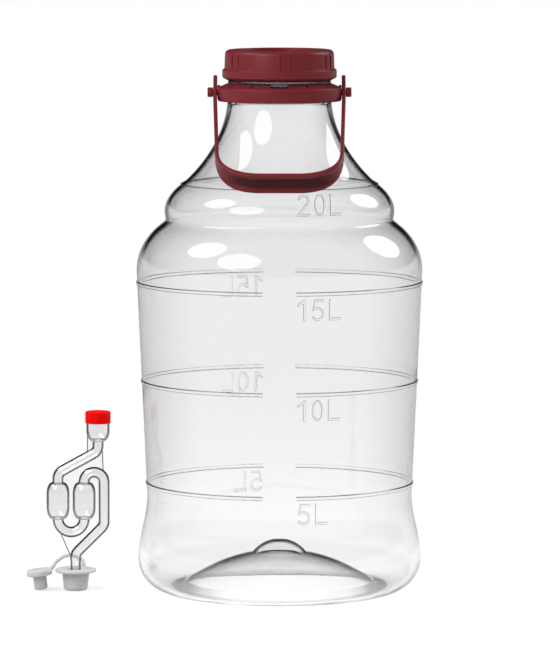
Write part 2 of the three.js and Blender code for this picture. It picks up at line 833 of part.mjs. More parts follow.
// The strap: a soft arch from the back of the bung's flange to the back of the plug's head.
function makeStrap() {
  const [halfWidth, halfThickness] = [strap.width / 2, strap.thickness / 2];
  const outline = polygon([
    [-halfWidth, -halfThickness],
    [halfWidth, -halfThickness],
    [halfWidth, halfThickness],
    [-halfWidth, halfThickness],
  ]);
  const root = new THREE.Vector3(strap.rootX, bung.flangeRadius - halfWidth - 1, bung.height + seatGap);
  const outward = new THREE.Vector3(1, 1, 0).normalize();
  const end = outward.clone().multiplyScalar(plug.headRadius + strap.endGap);
  end.z = plug.height - plug.headHeight / 2;
  end.applyAxisAngle(new THREE.Vector3(0, 1, 0), -plugTilt).add(new THREE.Vector3(plugX, 0, plugLift));
  const from = (point, x, y, z) => point.clone().add(new THREE.Vector3(x, y, z));
  const route = new THREE.CatmullRomCurve3([
    root,
    from(root, 0, 0, strap.archRise * 0.4),
    from(root, -5, 0.5, strap.archRise * 0.85),
    from(root.clone().lerp(end, 0.5).setZ(root.z), 0, 3, strap.archRise),
    from(end, 7, 6, strap.archRise * 0.75),
    from(end, 2.6, 2.6, 1.6),
    end,
  ]);
  return swept(outline, route, strap.steps);
}

// Finishes
const finishOf = (color, roughness, extra = {}) =>
  new THREE.MeshStandardMaterial({ color, roughness, metalness: 0, ...extra });
const clear = { transparent: true, opacity: 0.3 };
const clearPet = finishOf(0xe9ecee, 0.06, clear);
const clearStyrene = finishOf(0xe6e8ea, 0.1, clear);
const burgundy = finishOf(0x74292f, 0.38);
const signalRed = finishOf(0xf20d0d, 0.4);
const silicone = finishOf(0xcfcfcf, 0.55);
const greySeal = finishOf(0xb9bbbd, 0.7);

function piece(name, solid, material) {
  const mesh = new THREE.Mesh(toGeometry(solid), material);
  mesh.name = name;
  return mesh;
}

// The jar with its handle and cap
const outside = jarOutside();
const jarSet = new THREE.Group();
const handle = piece("bail_handle", makeBail(), burgundy);
handle.position.z = pinZ;
handle.rotation.x = -restLean(outside);
jarSet.add(
  piece("jar_body", makeJar(outside), clearPet),
  piece("handle_collar", makeCollar(), burgundy),
  handle,
  piece("cap_seal", makeSeal(), greySeal),
  piece("screw_cap", makeCap(), burgundy),
);

// The airlock in its bung, with the plug beside it
const airlockSet = new THREE.Group();
const airlockPieces = new THREE.Group();
airlockPieces.position.z = bung.stemLift;
airlockPieces.add(
  piece("airlock_tube", makeAirlock(), clearStyrene),
  piece("airlock_cap", makeAirlockCap(), signalRed),
);
const plugPiece = piece("bung_plug", makePlug(), silicone);
plugPiece.position.set(plugX, 0, plugLift);
plugPiece.rotation.y = -plugTilt;
airlockSet.add(
  piece("bung", makeBung(), silicone),
  piece("bung_strap", makeStrap(), silicone),
  plugPiece,
  airlockPieces,
);

// Side by side, with the whole set's box centred on the origin
const jarBox = new THREE.Box3().setFromObject(jarSet);
const airlockBox = new THREE.Box3().setFromObject(airlockSet);
const width = jarBox.max.x - jarBox.min.x + standGap + airlockBox.max.x - airlockBox.min.x;
airlockSet.position.x = -width / 2 - airlockBox.min.x;
jarSet.position.x = width / 2 - jarBox.max.x;

const demijohn = new THREE.Group();
demijohn.add(jarSet, airlockSet);
export default demijohn;
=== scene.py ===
import math
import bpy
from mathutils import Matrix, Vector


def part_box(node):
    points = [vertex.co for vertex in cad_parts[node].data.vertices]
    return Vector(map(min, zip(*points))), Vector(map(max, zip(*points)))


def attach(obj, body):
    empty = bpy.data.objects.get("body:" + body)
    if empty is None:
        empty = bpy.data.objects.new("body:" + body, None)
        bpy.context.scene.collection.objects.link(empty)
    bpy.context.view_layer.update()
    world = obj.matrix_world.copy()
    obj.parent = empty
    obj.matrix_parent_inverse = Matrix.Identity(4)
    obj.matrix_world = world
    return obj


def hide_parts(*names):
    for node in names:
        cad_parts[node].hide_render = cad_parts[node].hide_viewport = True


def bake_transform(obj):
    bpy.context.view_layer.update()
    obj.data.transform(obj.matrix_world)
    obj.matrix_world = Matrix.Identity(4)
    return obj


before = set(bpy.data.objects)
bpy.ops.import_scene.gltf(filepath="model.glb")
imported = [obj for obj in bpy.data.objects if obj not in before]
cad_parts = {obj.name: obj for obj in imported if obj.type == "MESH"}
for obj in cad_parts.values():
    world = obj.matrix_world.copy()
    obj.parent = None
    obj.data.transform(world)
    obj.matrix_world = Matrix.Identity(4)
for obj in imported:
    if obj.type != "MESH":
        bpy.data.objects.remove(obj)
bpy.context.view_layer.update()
from types import SimpleNamespace
import bmesh
import bpy
from mathutils import Matrix, Vector

mm = 0.001
weld = 2e-6                                         # points nearer than this become one
jarX = sum(c.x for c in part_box("screw_cap")) / 2    # the jar's axis
stemX = sum(c.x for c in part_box("bung")) / 2        # the axis of the airlock's stem
print("frame loaded, jar axis", round(jarX, 5), "stem axis", round(stemX, 5))


def sizesOf(sizes):
    return SimpleNamespace(**sizes)


def shown(name, data):
    piece = bpy.data.objects.new(name, data)
    bpy.context.scene.collection.objects.link(piece)
    return piece


def pieceOf(name, build, *finishes):
    mesh = bpy.data.meshes.new(name)
    build.to_mesh(mesh)
    build.free()
    for finish in finishes:
        mesh.materials.append(finish)
    return shown(name, mesh)


# camera, at the height and distance of the photograph
cameraPlace = dict(distance=4.811, height=0.7211, aimHeight=0.2548, aimRight=0.0005, lens=275.9, farthest=50)


def pointed(item, place, direction):
    item.location = place
    item.rotation_euler = direction.to_track_quat("-Z", "Y").to_euler()
    return item


def makeCamera():
    c = sizesOf(cameraPlace)
    lens = bpy.data.cameras.new("camera")
    lens.lens = c.lens
    lens.clip_end = c.farthest
    place = Vector((jarX, -c.distance, c.height))
    aim = Vector((jarX + c.aimRight, 0, c.aimHeight))
    bpy.context.scene.camera = pointed(shown("camera", lens), place, aim - place)


makeCamera()
bpy.context.scene.view_settings.view_transform = "Standard"


# a node with its inputs filled: by a value, by a node's output, or by a node, whose first output is meant
def addNode(tree, kind, inputs=(), **settings):
    node = tree.nodes.new(kind)
    for name, value in settings.items():
        setattr(node, name, value)
    for socket, value in dict(inputs).items():
        if isinstance(value, bpy.types.Node):
            value = value.outputs[0]
        if isinstance(value, bpy.types.NodeSocket):
            tree.links.new(value, node.inputs[socket])
        else:
            node.inputs[socket].default_value = value
    return node


def maths(tree, how, *values):
    return addNode(tree, "ShaderNodeMath", enumerate(values), operation=how)


def ranged(tree, value, low, high, fromLow=0.3, fromHigh=0.7, ease="LINEAR"):
    span = {"Value": value, "From Min": fromLow, "From Max": fromHigh, "To Min": low, "To Max": high}
    return addNode(tree, "ShaderNodeMapRange", span, interpolation_type=ease)


def newFinish(name):
    material = bpy.data.materials.new(name)
    material.use_nodes = True
    tree = material.node_tree
    tree.nodes.clear()
    return material, tree, addNode(tree, "ShaderNodeTexCoord").outputs["Object"]


def covered(material, shader):
    addNode(material.node_tree, "ShaderNodeOutputMaterial", {"Surface": shader})
    return material


def grey(level, cool=0):
    return (level, level, level + cool, 1)


# light: a white surround with a dark ceiling, which clear plastic shows at its edges, and round soft boxes
studio = dict(
    plain=0.56, white=1.0, mirrored=0.5, ceiling=0.02, ceilingSpan=(0.03, 0.12), boxAim=0.3,
    floorRadius=1.6, floorSides=96, floorFade=(0.34, 0.95), floorWhite=0.4, floorGlow=0.62, floorDrop=0.0003,
    # name: azimuth from the camera, elevation, distance, width, watts
    boxes={
        "keyBox": (-36, 33, 2.2, 1.3, 20),
        "sideBox": (-80, 45, 2.2, 1.1, 15),
        "rimBox": (115, 33, 2.2, 1.2, 17),
    },
)


def makeWorld():
    s = sizesOf(studio)
    world = bpy.data.worlds.new("studio")
    bpy.context.scene.world = world
    world.use_nodes = True
    tree = world.node_tree
    tree.nodes.clear()
    path = addNode(tree, "ShaderNodeLightPath").outputs
    coords = addNode(tree, "ShaderNodeTexCoord").outputs["Generated"]
    height = addNode(tree, "ShaderNodeSeparateXYZ", {"Vector": coords}).outputs["Z"]
    climb = ranged(tree, height, s.white, s.ceiling, *s.ceilingSpan, "SMOOTHSTEP")    # walls to ceiling
    dimmed = maths(tree, "MULTIPLY", climb, s.mirrored)
    level = s.plain
    for kind, seen in (("Is Glossy Ray", dimmed), ("Is Transmission Ray", climb), ("Is Camera Ray", s.white)):
        level = addNode(tree, "ShaderNodeMix", {"Factor": path[kind], "A": level, "B": seen})
    sky = addNode(tree, "ShaderNodeBackground", {"Color": grey(1), "Strength": level})
    addNode(tree, "ShaderNodeOutputWorld", {"Surface": sky})


def makeBoxes():
    target = Vector((jarX, 0, studio["boxAim"]))
    for name, (azimuth, elevation, distance, width, watts) in studio["boxes"].items():
        lamp = bpy.data.lights.new(name, "AREA")
        lamp.shape = "DISK"
        lamp.size = width
        lamp.energy = watts
        a, e = math.radians(azimuth), math.radians(elevation)
        away = Vector((math.sin(a) * math.cos(e), -math.cos(a) * math.cos(e), math.sin(e)))
        box = pointed(shown(name, lamp), target + away * distance, -away)
        box.visible_camera = False
        box.visible_transmission = False


def makeFloor():
    s = sizesOf(studio)
    build = bmesh.new()
    bmesh.ops.create_circle(build, cap_ends=True, radius=s.floorRadius, segments=s.floorSides)
    white, tree, coords = newFinish("floorPaper")
    reach = addNode(tree, "ShaderNodeVectorMath", {0: coords}, operation="LENGTH").outputs["Value"]
    fade = ranged(tree, reach, 0, 1, *s.floorFade, "SMOOTHSTEP")
    paper = addNode(tree, "ShaderNodeBsdfDiffuse", {"Color": grey(s.floorWhite)})
    lights = addNode(tree, "ShaderNodeLightPath").outputs["Is Diffuse Ray"]
    seen = maths(tree, "MULTIPLY_ADD", lights, -s.floorGlow, s.floorGlow)
    glow = addNode(tree, "ShaderNodeEmission", {"Strength": seen})    # seen, but doesn't light the object
    lit = addNode(tree, "ShaderNodeAddShader", {0: paper, 1: glow})
    clear = addNode(tree, "ShaderNodeBsdfTransparent")
    mix = addNode(tree, "ShaderNodeMixShader", {"Fac": fade, 1: lit, 2: clear})
    floor = pieceOf("floor", build, covered(white, mix))
    floor.location.z = -s.floorDrop


makeWorld()
makeBoxes()
makeFloor()
print("stage ready")


# finishes: scales of their noise, and what it does
clearStyle = dict(haze=38, waveStretch=(1, 1, 0.35), letThrough=0.985)
# hollow: how dark the painted shade in channels and recesses is, as a share of the deep tone
mouldedStyle = dict(cloud=26, smear=70, flow=45, flowDepth=3, hollow=0.3)
softStyle = dict(cloud=90, dust=420, dustDepth=0.00004, glowDepth=0.004)


def noiseOf(tree, coords, scale, detail, stretch=(1, 1, 1)):
    place = addNode(tree, "ShaderNodeMapping", {"Vector": coords, "Scale": stretch})
    return addNode(tree, "ShaderNodeTexNoise", {"Vector": place, "Scale": scale, "Detail": detail})


def mixed(tree, share, under, over):
    return addNode(tree, "ShaderNodeMix", {0: share, 6: under, 7: over}, data_type="RGBA").outputs[2]


def clouded(tree, coords, scale, detail, deep, pale):
    return mixed(tree, ranged(tree, noiseOf(tree, coords, scale, detail), 0, 1), deep, pale)


# how much painted shade a clear wall takes: where it is seen edge-on, from a height up, sooner the higher it
# is, to the sides
def shadeShare(tree, coords, shade):
    place = addNode(tree, "ShaderNodeSeparateXYZ", {"Vector": coords}).outputs
    slant = addNode(tree, "ShaderNodeLayerWeight").outputs["Facing"]
    if "sooner" in shade:
        gain, low, high = shade["sooner"]
        slant = maths(tree, "ADD", slant, ranged(tree, place["Z"], 0, gain, low, high))
    share = ranged(tree, slant, 0, 1, *shade["span"])
    if "above" in shade:
        share = maths(tree, "MULTIPLY", share, ranged(tree, place["Z"], 0, 1, *shade["above"]))
    if "aside" in shade:
        offset = maths(tree, "ABSOLUTE", maths(tree, "SUBTRACT", place["X"], jarX))
        share = maths(tree, "MULTIPLY", share, ranged(tree, offset, 0, 1, *shade["aside"]))
    return share


def clearFinish(name, tint, index, rough, ripple, rippleScale, *shades):
    s = sizesOf(clearStyle)
    material, tree, coords = newFinish(name)
    haze = noiseOf(tree, coords, s.haze, 3)
    wave = noiseOf(tree, coords, rippleScale, 1, s.waveStretch)
    wall = addNode(tree, "ShaderNodeBsdfPrincipled", {
        "Base Color": tint, "IOR": index, "Transmission Weight": 1.0, "Roughness": ranged(tree, haze, *rough),
        "Normal": addNode(tree, "ShaderNodeBump", {"Height": wave, "Distance": ripple}),
    })
    colour = tint
    for shade in shades:
        colour = mixed(tree, shadeShare(tree, coords, shade), colour, shade["tint"])
    if shades:
        tree.links.new(colour, wall.inputs["Base Color"])
    shadow = addNode(tree, "ShaderNodeLightPath").outputs["Is Shadow Ray"]
    letThrough = addNode(tree, "ShaderNodeBsdfTransparent", {"Color": grey(s.letThrough)})
    return covered(material, addNode(tree, "ShaderNodeMixShader", {"Fac": shadow, 1: wall, 2: letThrough}))


def mouldedFinish(name, pale, deep, rough, grain, grainScale, specular):
    s = sizesOf(mouldedStyle)
    material, tree, coords = newFinish(name)
    # painted shade: where the channelShade attribute is set, the colour goes over to a darker copy of the
    # deep tone, in channels and recesses
    paintedShadeShare = addNode(tree, "ShaderNodeAttribute", attribute_name="channelShade").outputs["Fac"]
    shadedGround = tuple(s.hollow * c for c in deep[:3]) + (1,)    # the ground of a hollow
    flow = {"Height": noiseOf(tree, coords, s.flow, 1), "Distance": grain * s.flowDepth}
    fine = {"Height": noiseOf(tree, coords, grainScale, 2), "Distance": grain}
    skin = addNode(tree, "ShaderNodeBsdfPrincipled", {
        "Base Color": mixed(tree, paintedShadeShare, clouded(tree, coords, s.cloud, 3, deep, pale), shadedGround),
        "Specular IOR Level": specular, "Roughness": ranged(tree, noiseOf(tree, coords, s.smear, 4), *rough),
        "Normal": addNode(tree, "ShaderNodeBump", dict(fine, Normal=addNode(tree, "ShaderNodeBump", flow))),
    })
    return covered(material, skin)


def softFinish(name, pale, deep, rough, glow):
    s = sizesOf(softStyle)
    material, tree, coords = newFinish(name)
    dust = noiseOf(tree, coords, s.dust, 3)
    skin = addNode(tree, "ShaderNodeBsdfPrincipled", {
        "Base Color": clouded(tree, coords, s.cloud, 4, deep, pale), "Roughness": ranged(tree, dust, *rough),
        "Subsurface Weight": glow, "Subsurface Radius": (1, 1, 1), "Subsurface Scale": s.glowDepth,
        "Normal": addNode(tree, "ShaderNodeBump", {"Height": dust, "Distance": s.dustDepth}),
    })
    return covered(material, skin)


black = grey(0.01, 0.001)
petIndex, styreneIndex = 1.5, 1.55
# clear body: greyer from a height up, clearer towards the bottom; painted shade where the wall is seen
# edge-on; painted black outlines from the shoulders up
clearPet = clearFinish(
    "clearPet", grey(0.985, 0.001), petIndex, (0.012, 0.04), 0.0002, 22,
    dict(span=(-1, 0), above=(0.05, 0.2), tint=grey(0.93, 0.002)),
    dict(span=(0.2, 1), above=(0.02, 0.12), tint=grey(0.55, 0.005)),
    dict(span=(0.73, 0.8), above=(0.306, 0.332), sooner=(0.1, 0.425, 0.465), tint=black))
# painted shade: a dark clear finish, black where seen edge-on, for the bands' upper edges and the figures'
# sides
edgeShadePet = clearFinish(
    "edgeShadePet", grey(0.12, 0.001), petIndex, (0.1, 0.2), 0.0001, 60, dict(span=(0.28, 0.55), tint=black))
# frosted ring under the jar, with painted shade: it greys towards the sides
footPet = clearFinish(
    "footPet", grey(0.97), petIndex, (0.3, 0.45), 0.0002, 90,
    dict(span=(-1, 0), aside=(0.04, 0.085), tint=grey(0.33, 0.002)))
# painted shade: the punt dome goes dark where it is seen edge-on
domePet = clearFinish(
    "domePet", grey(0.985, 0.001), petIndex, (0.012, 0.04), 0.0002, 40,
    dict(span=(0.6, 0.92), tint=grey(0.04, 0.001)))
# painted shade: the neck under the collar and cap is a dark grey clear plastic
neckShadePet = clearFinish("neckShadePet", (0.38, 0.37, 0.385, 1), petIndex, (0.05, 0.12), 0.0001, 60)
styreneSkin = (styreneIndex, (0.015, 0.05), 0.00002, 60)
# painted shade: the airlock's clear styrene goes black where seen edge-on, drawn as dark outlines
clearStyrene = clearFinish("clearStyrene", grey(0.9, 0.002), *styreneSkin, dict(span=(0.28, 0.4), tint=black))
wideStyrene = clearFinish("wideStyrene", grey(0.9, 0.002), *styreneSkin, dict(span=(0.44, 0.54), tint=black))
flatStyrene = clearFinish("flatStyrene", grey(0.95, 0.002), *styreneSkin)
edgeShadeStyrene = clearFinish("edgeShadeStyrene", grey(0.05, 0.001), styreneIndex, (0.15, 0.25), 0.0001, 60)
burgundy = mouldedFinish(
    "burgundyPlastic", (0.19, 0.0205, 0.0265, 1), (0.17, 0.0175, 0.023, 1), (0.32, 0.44), 0.00003, 1500, 0.22)
# painted shade: a dark copy of the burgundy for the walls of the slits and windows
slitShadeBurgundy = mouldedFinish(
    "slitShadeBurgundy", (0.02, 0.004, 0.005, 1), (0.014, 0.003, 0.004, 1), (0.5, 0.6), 0.00003, 1500, 0.1)
signalRed = mouldedFinish(
    "redPlastic", (0.93, 0.002, 0.002, 1), (0.86, 0.001, 0.001, 1), (0.42, 0.55), 0.00002, 1800, 0.06)
silicone = softFinish("silicone", grey(0.66), grey(0.61), (0.42, 0.58), 0.5)
sealRubber = softFinish("sealRubber", (0.5, 0.51, 0.52, 1), (0.44, 0.45, 0.46, 1), (0.6, 0.75), 0.1)
print("finishes ready")


# node trees: turned round the axis, swept along a line, repeated round the axis
def newTree(name, **sizes):
    tree = bpy.data.node_groups.new(name, "GeometryNodeTree")
    for label, kind in dict(Line="Geometry", **sizes, Finish="Material").items():
        tree.interface.new_socket(name=label, in_out="INPUT", socket_type="NodeSocket" + kind)
    tree.interface.new_socket(name="Shape", in_out="OUTPUT", socket_type="NodeSocketGeometry")
    return tree, addNode(tree, "NodeGroupInput").outputs


def closeTree(tree, given, shape):
    real = addNode(tree, "GeometryNodeRealizeInstances", {"Geometry": shape})
    paint = addNode(tree, "GeometryNodeSetMaterial", {"Geometry": real, "Material": given["Finish"]})
    addNode(tree, "NodeGroupOutput", {"Shape": paint})
    return tree


# the line is carried round a circle, or else the circle along the line
def makeSweepTree(name, lineRound):
    tree, given = newTree(name, Sides="Int", Radius="Float")
    line = addNode(tree, "GeometryNodeMeshToCurve", {"Mesh": given["Line"]})
    sizes = {"Resolution": given["Sides"], "Radius": given["Radius"]}
    circle = addNode(tree, "GeometryNodeCurvePrimitiveCircle", sizes)
    route, outline = (circle, line) if lineRound else (line, circle)
    swept = {"Curve": route, "Profile Curve": outline, "Fill Caps": not lineRound}
    return closeTree(tree, given, addNode(tree, "GeometryNodeCurveToMesh", swept))


def makeRoundTree():
    tree, given = newTree("repeatRoundAxis", Count="Int", Start="Float")
    spots = addNode(tree, "GeometryNodePoints", {"Count": given["Count"]})
    step = maths(tree, "DIVIDE", 2 * math.pi, given["Count"])
    turn = maths(tree, "MULTIPLY_ADD", addNode(tree, "GeometryNodeInputIndex"), step, given["Start"])
    angles = addNode(tree, "ShaderNodeCombineXYZ", {"Z": turn})
    copies = {"Points": spots, "Instance": given["Line"], "Rotation": angles}
    return closeTree(tree, given, addNode(tree, "GeometryNodeInstanceOnPoints", copies))


# a soft flat strap whose ends flare into what they join
def makeStrapTree():
    tree, given = newTree("strapAlongLine", Width="Float", Thickness="Float", Corner="Float", Flare="Float")
    route = addNode(tree, "GeometryNodeMeshToCurve", {"Mesh": given["Line"]})
    sizes = {"Width": given["Width"], "Height": given["Thickness"]}
    outline = addNode(tree, "GeometryNodeCurvePrimitiveQuadrilateral", sizes)
    corners = {"Curve": outline, "Radius": given["Corner"], "Count": 4}
    soften = addNode(tree, "GeometryNodeFilletCurve", corners, mode="POLY")
    place = addNode(tree, "GeometryNodeSplineParameter")
    away = maths(tree, "ABSOLUTE", maths(tree, "MULTIPLY_ADD", place, 2, -1))    # 1 at both ends, 0 halfway
    flare = maths(tree, "MULTIPLY", maths(tree, "POWER", away, 7), given["Flare"])
    scale = maths(tree, "ADD", flare, 1)
    swept = {"Curve": route, "Profile Curve": soften, "Fill Caps": True, "Scale": scale}
    return closeTree(tree, given, addNode(tree, "GeometryNodeCurveToMesh", swept))


turnTree = makeSweepTree("turnRoundAxis", True)
tubeTree = makeSweepTree("tubeAlongLine", False)
roundTree = makeRoundTree()
strapTree = makeStrapTree()


def plainMesh(piece):
    deps = bpy.context.evaluated_depsgraph_get()
    mesh = bpy.data.meshes.new_from_object(piece.evaluated_get(deps))
    piece.modifiers.clear()
    piece.data = mesh
    return piece


def grow(name, tree, mesh, finish, **sizes):
    piece = shown(name, mesh)
    maker = piece.modifiers.new("maker", "NODES")
    maker.node_group = tree
    values = dict(sizes, Finish=finish)
    for item in tree.interface.items_tree:
        if item.in_out == "INPUT" and item.name in values:
            maker[item.identifier] = values[item.name]
    return plainMesh(piece)


def lineMesh(name, points, loop=False):
    mesh = bpy.data.meshes.new(name)
    count = len(points)
    edges = [(i, i + 1) for i in range(count - 1)]
    if loop:
        edges.append((count - 1, 0))
    mesh.from_pydata(points, edges, [])
    return mesh


def tidy(piece):
    build = bmesh.new()
    build.from_mesh(piece.data)
    bmesh.ops.remove_doubles(build, verts=build.verts, dist=weld)
    bmesh.ops.recalc_face_normals(build, faces=build.faces)
    build.to_mesh(piece.data)
    build.free()
    return piece


def inTriangles(piece):
    build = bmesh.new()
    build.from_mesh(piece.data)
    bmesh.ops.triangulate(build, faces=build.faces)
    build.to_mesh(piece.data)
    build.free()
    return piece


def moved(piece, x=0, y=0, z=0, turn=None):
    place = Matrix.Translation((x, y, z))
    piece.data.transform(place @ turn if turn else place)
    return piece


# points are (radius, height) in millimetres
def turned(name, points, sides, finish, loop=False):
    spine = 0.2
    profile = [(r * mm - spine, -z * mm, 0) for r, z in points]
    return tidy(grow(name, turnTree, lineMesh(name, profile, loop), finish, Sides=sides, Radius=spine))


def tube(name, points, radius, sides, finish):
    line = lineMesh(name, [Vector(p) * mm for p in points])
    return tidy(grow(name, tubeTree, line, finish, Sides=sides, Radius=radius * mm))


def repeated(name, piece, count, start, finish):
    many = grow(name, roundTree, piece.data, finish, Count=count, Start=start)
    bpy.data.objects.remove(piece)
    return many


def combined(piece, tool, how):
    cut = piece.modifiers.new("cut", "BOOLEAN")
    cut.solver = "MANIFOLD"
    cut.operation = how
    cut.object = tool
    plainMesh(piece)
    bpy.data.objects.remove(tool)
    return piece


def block(name, size, place, finish, edge=0):
    build = bmesh.new()
    bmesh.ops.create_cube(build, size=1)
    bmesh.ops.transform(build, matrix=Matrix.Diagonal((*[s * mm for s in size], 1)), verts=build.verts)
    if edge:
        bmesh.ops.bevel(build, geom=build.edges[:], offset=edge * mm, segments=3, profile=0.5, affect="EDGES")
    return moved(pieceOf(name, build, finish), *[c * mm for c in place])


def smooth(piece, angle=35):
    piece.data.shade_smooth()
    piece.data.set_sharp_from_angle(angle=math.radians(angle))
    return piece


def done(piece, body, node):
    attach(piece, body)
    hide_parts(node)
    faces = sum(len(p.vertices) - 2 for p in piece.data.polygons)
    print(node, "made:", faces, "triangles")
    return piece


def between(a, b, share):
    return a + (b - a) * share


def pointBetween(a, b, share):
    return tuple(between(a[k], b[k], share) for k in (0, 1))


def bezier(a, b, c, d, steps):
    out = []
    for i in range(1, steps + 1):
        t = i / steps
        weights = ((1 - t) ** 3, 3 * t * (1 - t) ** 2, 3 * t * t * (1 - t), t ** 3)
        out.append(tuple(sum(w * p[k] for w, p in zip(weights, (a, b, c, d))) for k in (0, 1)))
    return out


def quadratic(a, b, c, steps):
    return bezier(a, pointBetween(a, b, 2 / 3), pointBetween(c, b, 2 / 3), c, steps)


# corners (r, z, radius) joined by lines, each corner rounded by an arc
def rounded(corners, loop=True, steps=5):
    out = []
    count = len(corners)
    for i, (r, z, radius) in enumerate(corners):
        here = Vector((r, z))
        ends = not loop and i in (0, count - 1)
        if radius == 0 or ends:
            out.append((r, z))
            continue
        last, following = corners[i - 1], corners[(i + 1) % count]
        before, after = Vector(last[:2]) - here, Vector(following[:2]) - here
        angle = before.angle(after)
        sides = (before, last), (after, following)
        room = [0.98 * edge.length * radius / (radius + other[2]) for edge, other in sides]
        cut = min(radius / math.tan(angle / 2), *room)
        start, end = here + before.normalized() * cut, here + after.normalized() * cut
        sweep = math.pi - angle
        centre = here + (before.normalized() + after.normalized()).normalized() * cut / math.cos(angle / 2)
        for k in range(steps + 1):
            a, b = math.sin(sweep * (1 - k / steps)), math.sin(sweep * k / steps)
            out.append(tuple(centre + ((start - centre) * a + (end - centre) * b) / math.sin(sweep)))
    return out


# jar: a blown shell, with sizes in millimetres
jarSizes = dict(
    puntRadius=89.6, puntRise=7.1, heel=2, crownRadius=25.6, crownRise=34.7, tipRadius=6.5, tipRise=47,
    footInner=96.2, footOuter=105.3, bellyRadius=136.7, bellyHeight=32.6, waistRadius=127.6, waistHeight=93.7,
    wallTopRadius=137.4, wallTop=310.4, valleyRadius=108.4, valleyHeight=358.8, shoulderRadius=110.4,
    shoulderHeight=367.3, rootRadius=91.7, rootHeight=395.3, neckRadius=50, neckHeight=471.2,
    seatRadius=46.9, seatHeight=474.2, ringRadius=49.5, ringLow=490.5, ringHigh=492.5, finishRadius=46.4,
    lip=512.7, bore=44, bodyWall=1.2, shoulderWall=1.3, neckWall=2.4, baseWall=2, sides=160,
    bandHeight=4.6, bandProud=0.9, bandBite=0.5, bandGap=31.5, bandSlope=1.4, bandCorner=0.3, bandDark=25,
    bandTurn=22, gapReach=(400, 30), footFrost=(89.5, 106), footHigh=8,
    threadDepth=1.5, threadRoot=2.2, threadCrest=1, threadStart=499.5, threadLead=12,
    threadSweep=200, threadSteps=64, threadBite=0.5, threadTaper=6, threadBlunt=0.05,
    # how far the handles of the outline's curves reach, as shares of a curve's width and height
    footBend=(0.56, 0.44), flareBend=(0.38, 0.37), domeBend=(0.47, 0.52, 0.2), creaseBend=0.3,
    beadBend=(0.4, 0.57, 0.27), neckBend=((0.45, 0.22), (0.925, 0.58)), ease=(7, 5),
)
jarFinishes = [clearPet, edgeShadePet, footPet, domePet, neckShadePet]
litreMarks = {"5L": 105.2, "10L": 203.8, "15L": 299, "20L": 395.3}
markStyle = dict(
    height=20.5, left=16.9, drop=7.2, proud=0.7, bite=0.5, slope=0.03, steep=0.85, gap=0.19, gaps={"1": 0.28},
    strip=2.5, rows=8,
)


def dome(edgeRadius, edgeZ, topRadius, topZ, steps):
    centre = (edgeRadius ** 2 + edgeZ ** 2 - topRadius ** 2 - topZ ** 2) / (2 * (edgeZ - topZ))
    radius = math.hypot(edgeRadius, edgeZ - centre)
    radii = [between(edgeRadius, topRadius, i / steps) for i in range(steps + 1)]
    return [(r, centre + math.sqrt(radius ** 2 - r ** 2)) for r in radii]


# a curve that leaves upwards and closes in over its end
def swell(start, end, lift, reach, drop, steps):
    rise = end[1] - start[1]
    bulge = (between(end[0], start[0], reach), end[1] - drop * rise)
    return bezier(start, (start[0], start[1] + lift * rise), bulge, end, steps)


def jarOutside():
    j = sizesOf(jarSizes)
    wide = dome(j.puntRadius, j.puntRise, j.crownRadius, j.crownRise, 14)
    small = dome(j.crownRadius, j.crownRise, j.tipRadius, j.tipRise, 10)
    line = [(0, j.tipRise)] + (wide + small[1:])[::-1]
    line += quadratic(line[-1], (j.footInner - j.heel, 0), (j.footInner, 0), 6)
    foot = (j.footOuter, 0)
    line.append(foot)
    belly = (j.bellyRadius, j.bellyHeight)
    leave, land = (between(foot[0], belly[0], j.footBend[0]), 0), (belly[0], belly[1] * j.footBend[1])
    line += bezier(foot, leave, land, belly, 16)
    waist = (j.waistRadius, j.waistHeight)
    flare = waist[1] - belly[1]
    leave, land = (belly[0], belly[1] + j.flareBend[0] * flare), (waist[0], waist[1] - j.flareBend[1] * flare)
    line += bezier(belly, leave, land, waist, 14)
    top = (j.wallTopRadius, j.wallTop)
    line += [pointBetween(waist, top, i / 12) for i in range(1, 13)]
    valley = (j.valleyRadius, j.valleyHeight)
    line += swell(top, valley, *j.domeBend, 22)
    shoulder = (j.shoulderRadius, j.shoulderHeight)
    line += quadratic(valley, (shoulder[0], between(valley[1], shoulder[1], j.creaseBend)), shoulder, 7)
    root = (j.rootRadius, j.rootHeight)
    line += swell(shoulder, root, *j.beadBend, 14)
    neck = (j.neckRadius, j.neckHeight)
    rise = neck[1] - root[1]
    handles = [(between(root[0], neck[0], across), root[1] + up * rise) for across, up in j.neckBend]
    return softened(line + bezier(root, *handles, neck, 22), valley[1], *j.ease)


# the line with the crease at one height eased
def softened(line, centre, reach, times):
    for _ in range(times):
        threes = zip(line, line[1:], line[2:])
        means = [tuple((a[k] + 2 * b[k] + c[k]) / 4 for k in (0, 1)) for a, b, c in threes]
        inner = [e if abs(b[1] - centre) < reach else b for e, b in zip(means, line[1:])]
        line = [line[0]] + inner + [line[-1]]
    return line


def wallAt(r, z):
    j = sizesOf(jarSizes)
    if z > j.rootHeight:
        share = (z - j.rootHeight) / (j.neckHeight - j.rootHeight)
        return between(j.shoulderWall, j.neckWall, share)
    if z > j.wallTop:
        share = (z - j.wallTop) / (j.valleyHeight - j.wallTop)
        return between(j.bodyWall, j.shoulderWall, min(1, share))
    if r <= j.footOuter and z < j.tipRise + j.baseWall:
        return j.baseWall
    return between(j.baseWall, j.bodyWall, min(1, z / j.bellyHeight))


def jarInside(outside):
    line = [(0, jarSizes["tipRise"] + jarSizes["baseWall"])]
    for i in range(1, len(outside)):
        here = Vector(outside[i])
        along = (Vector(outside[min(i + 1, len(outside) - 1)]) - Vector(outside[i - 1])).normalized()
        wall = wallAt(*here)
        line.append((here.x - along.y * wall, here.y + along.x * wall))
    return line


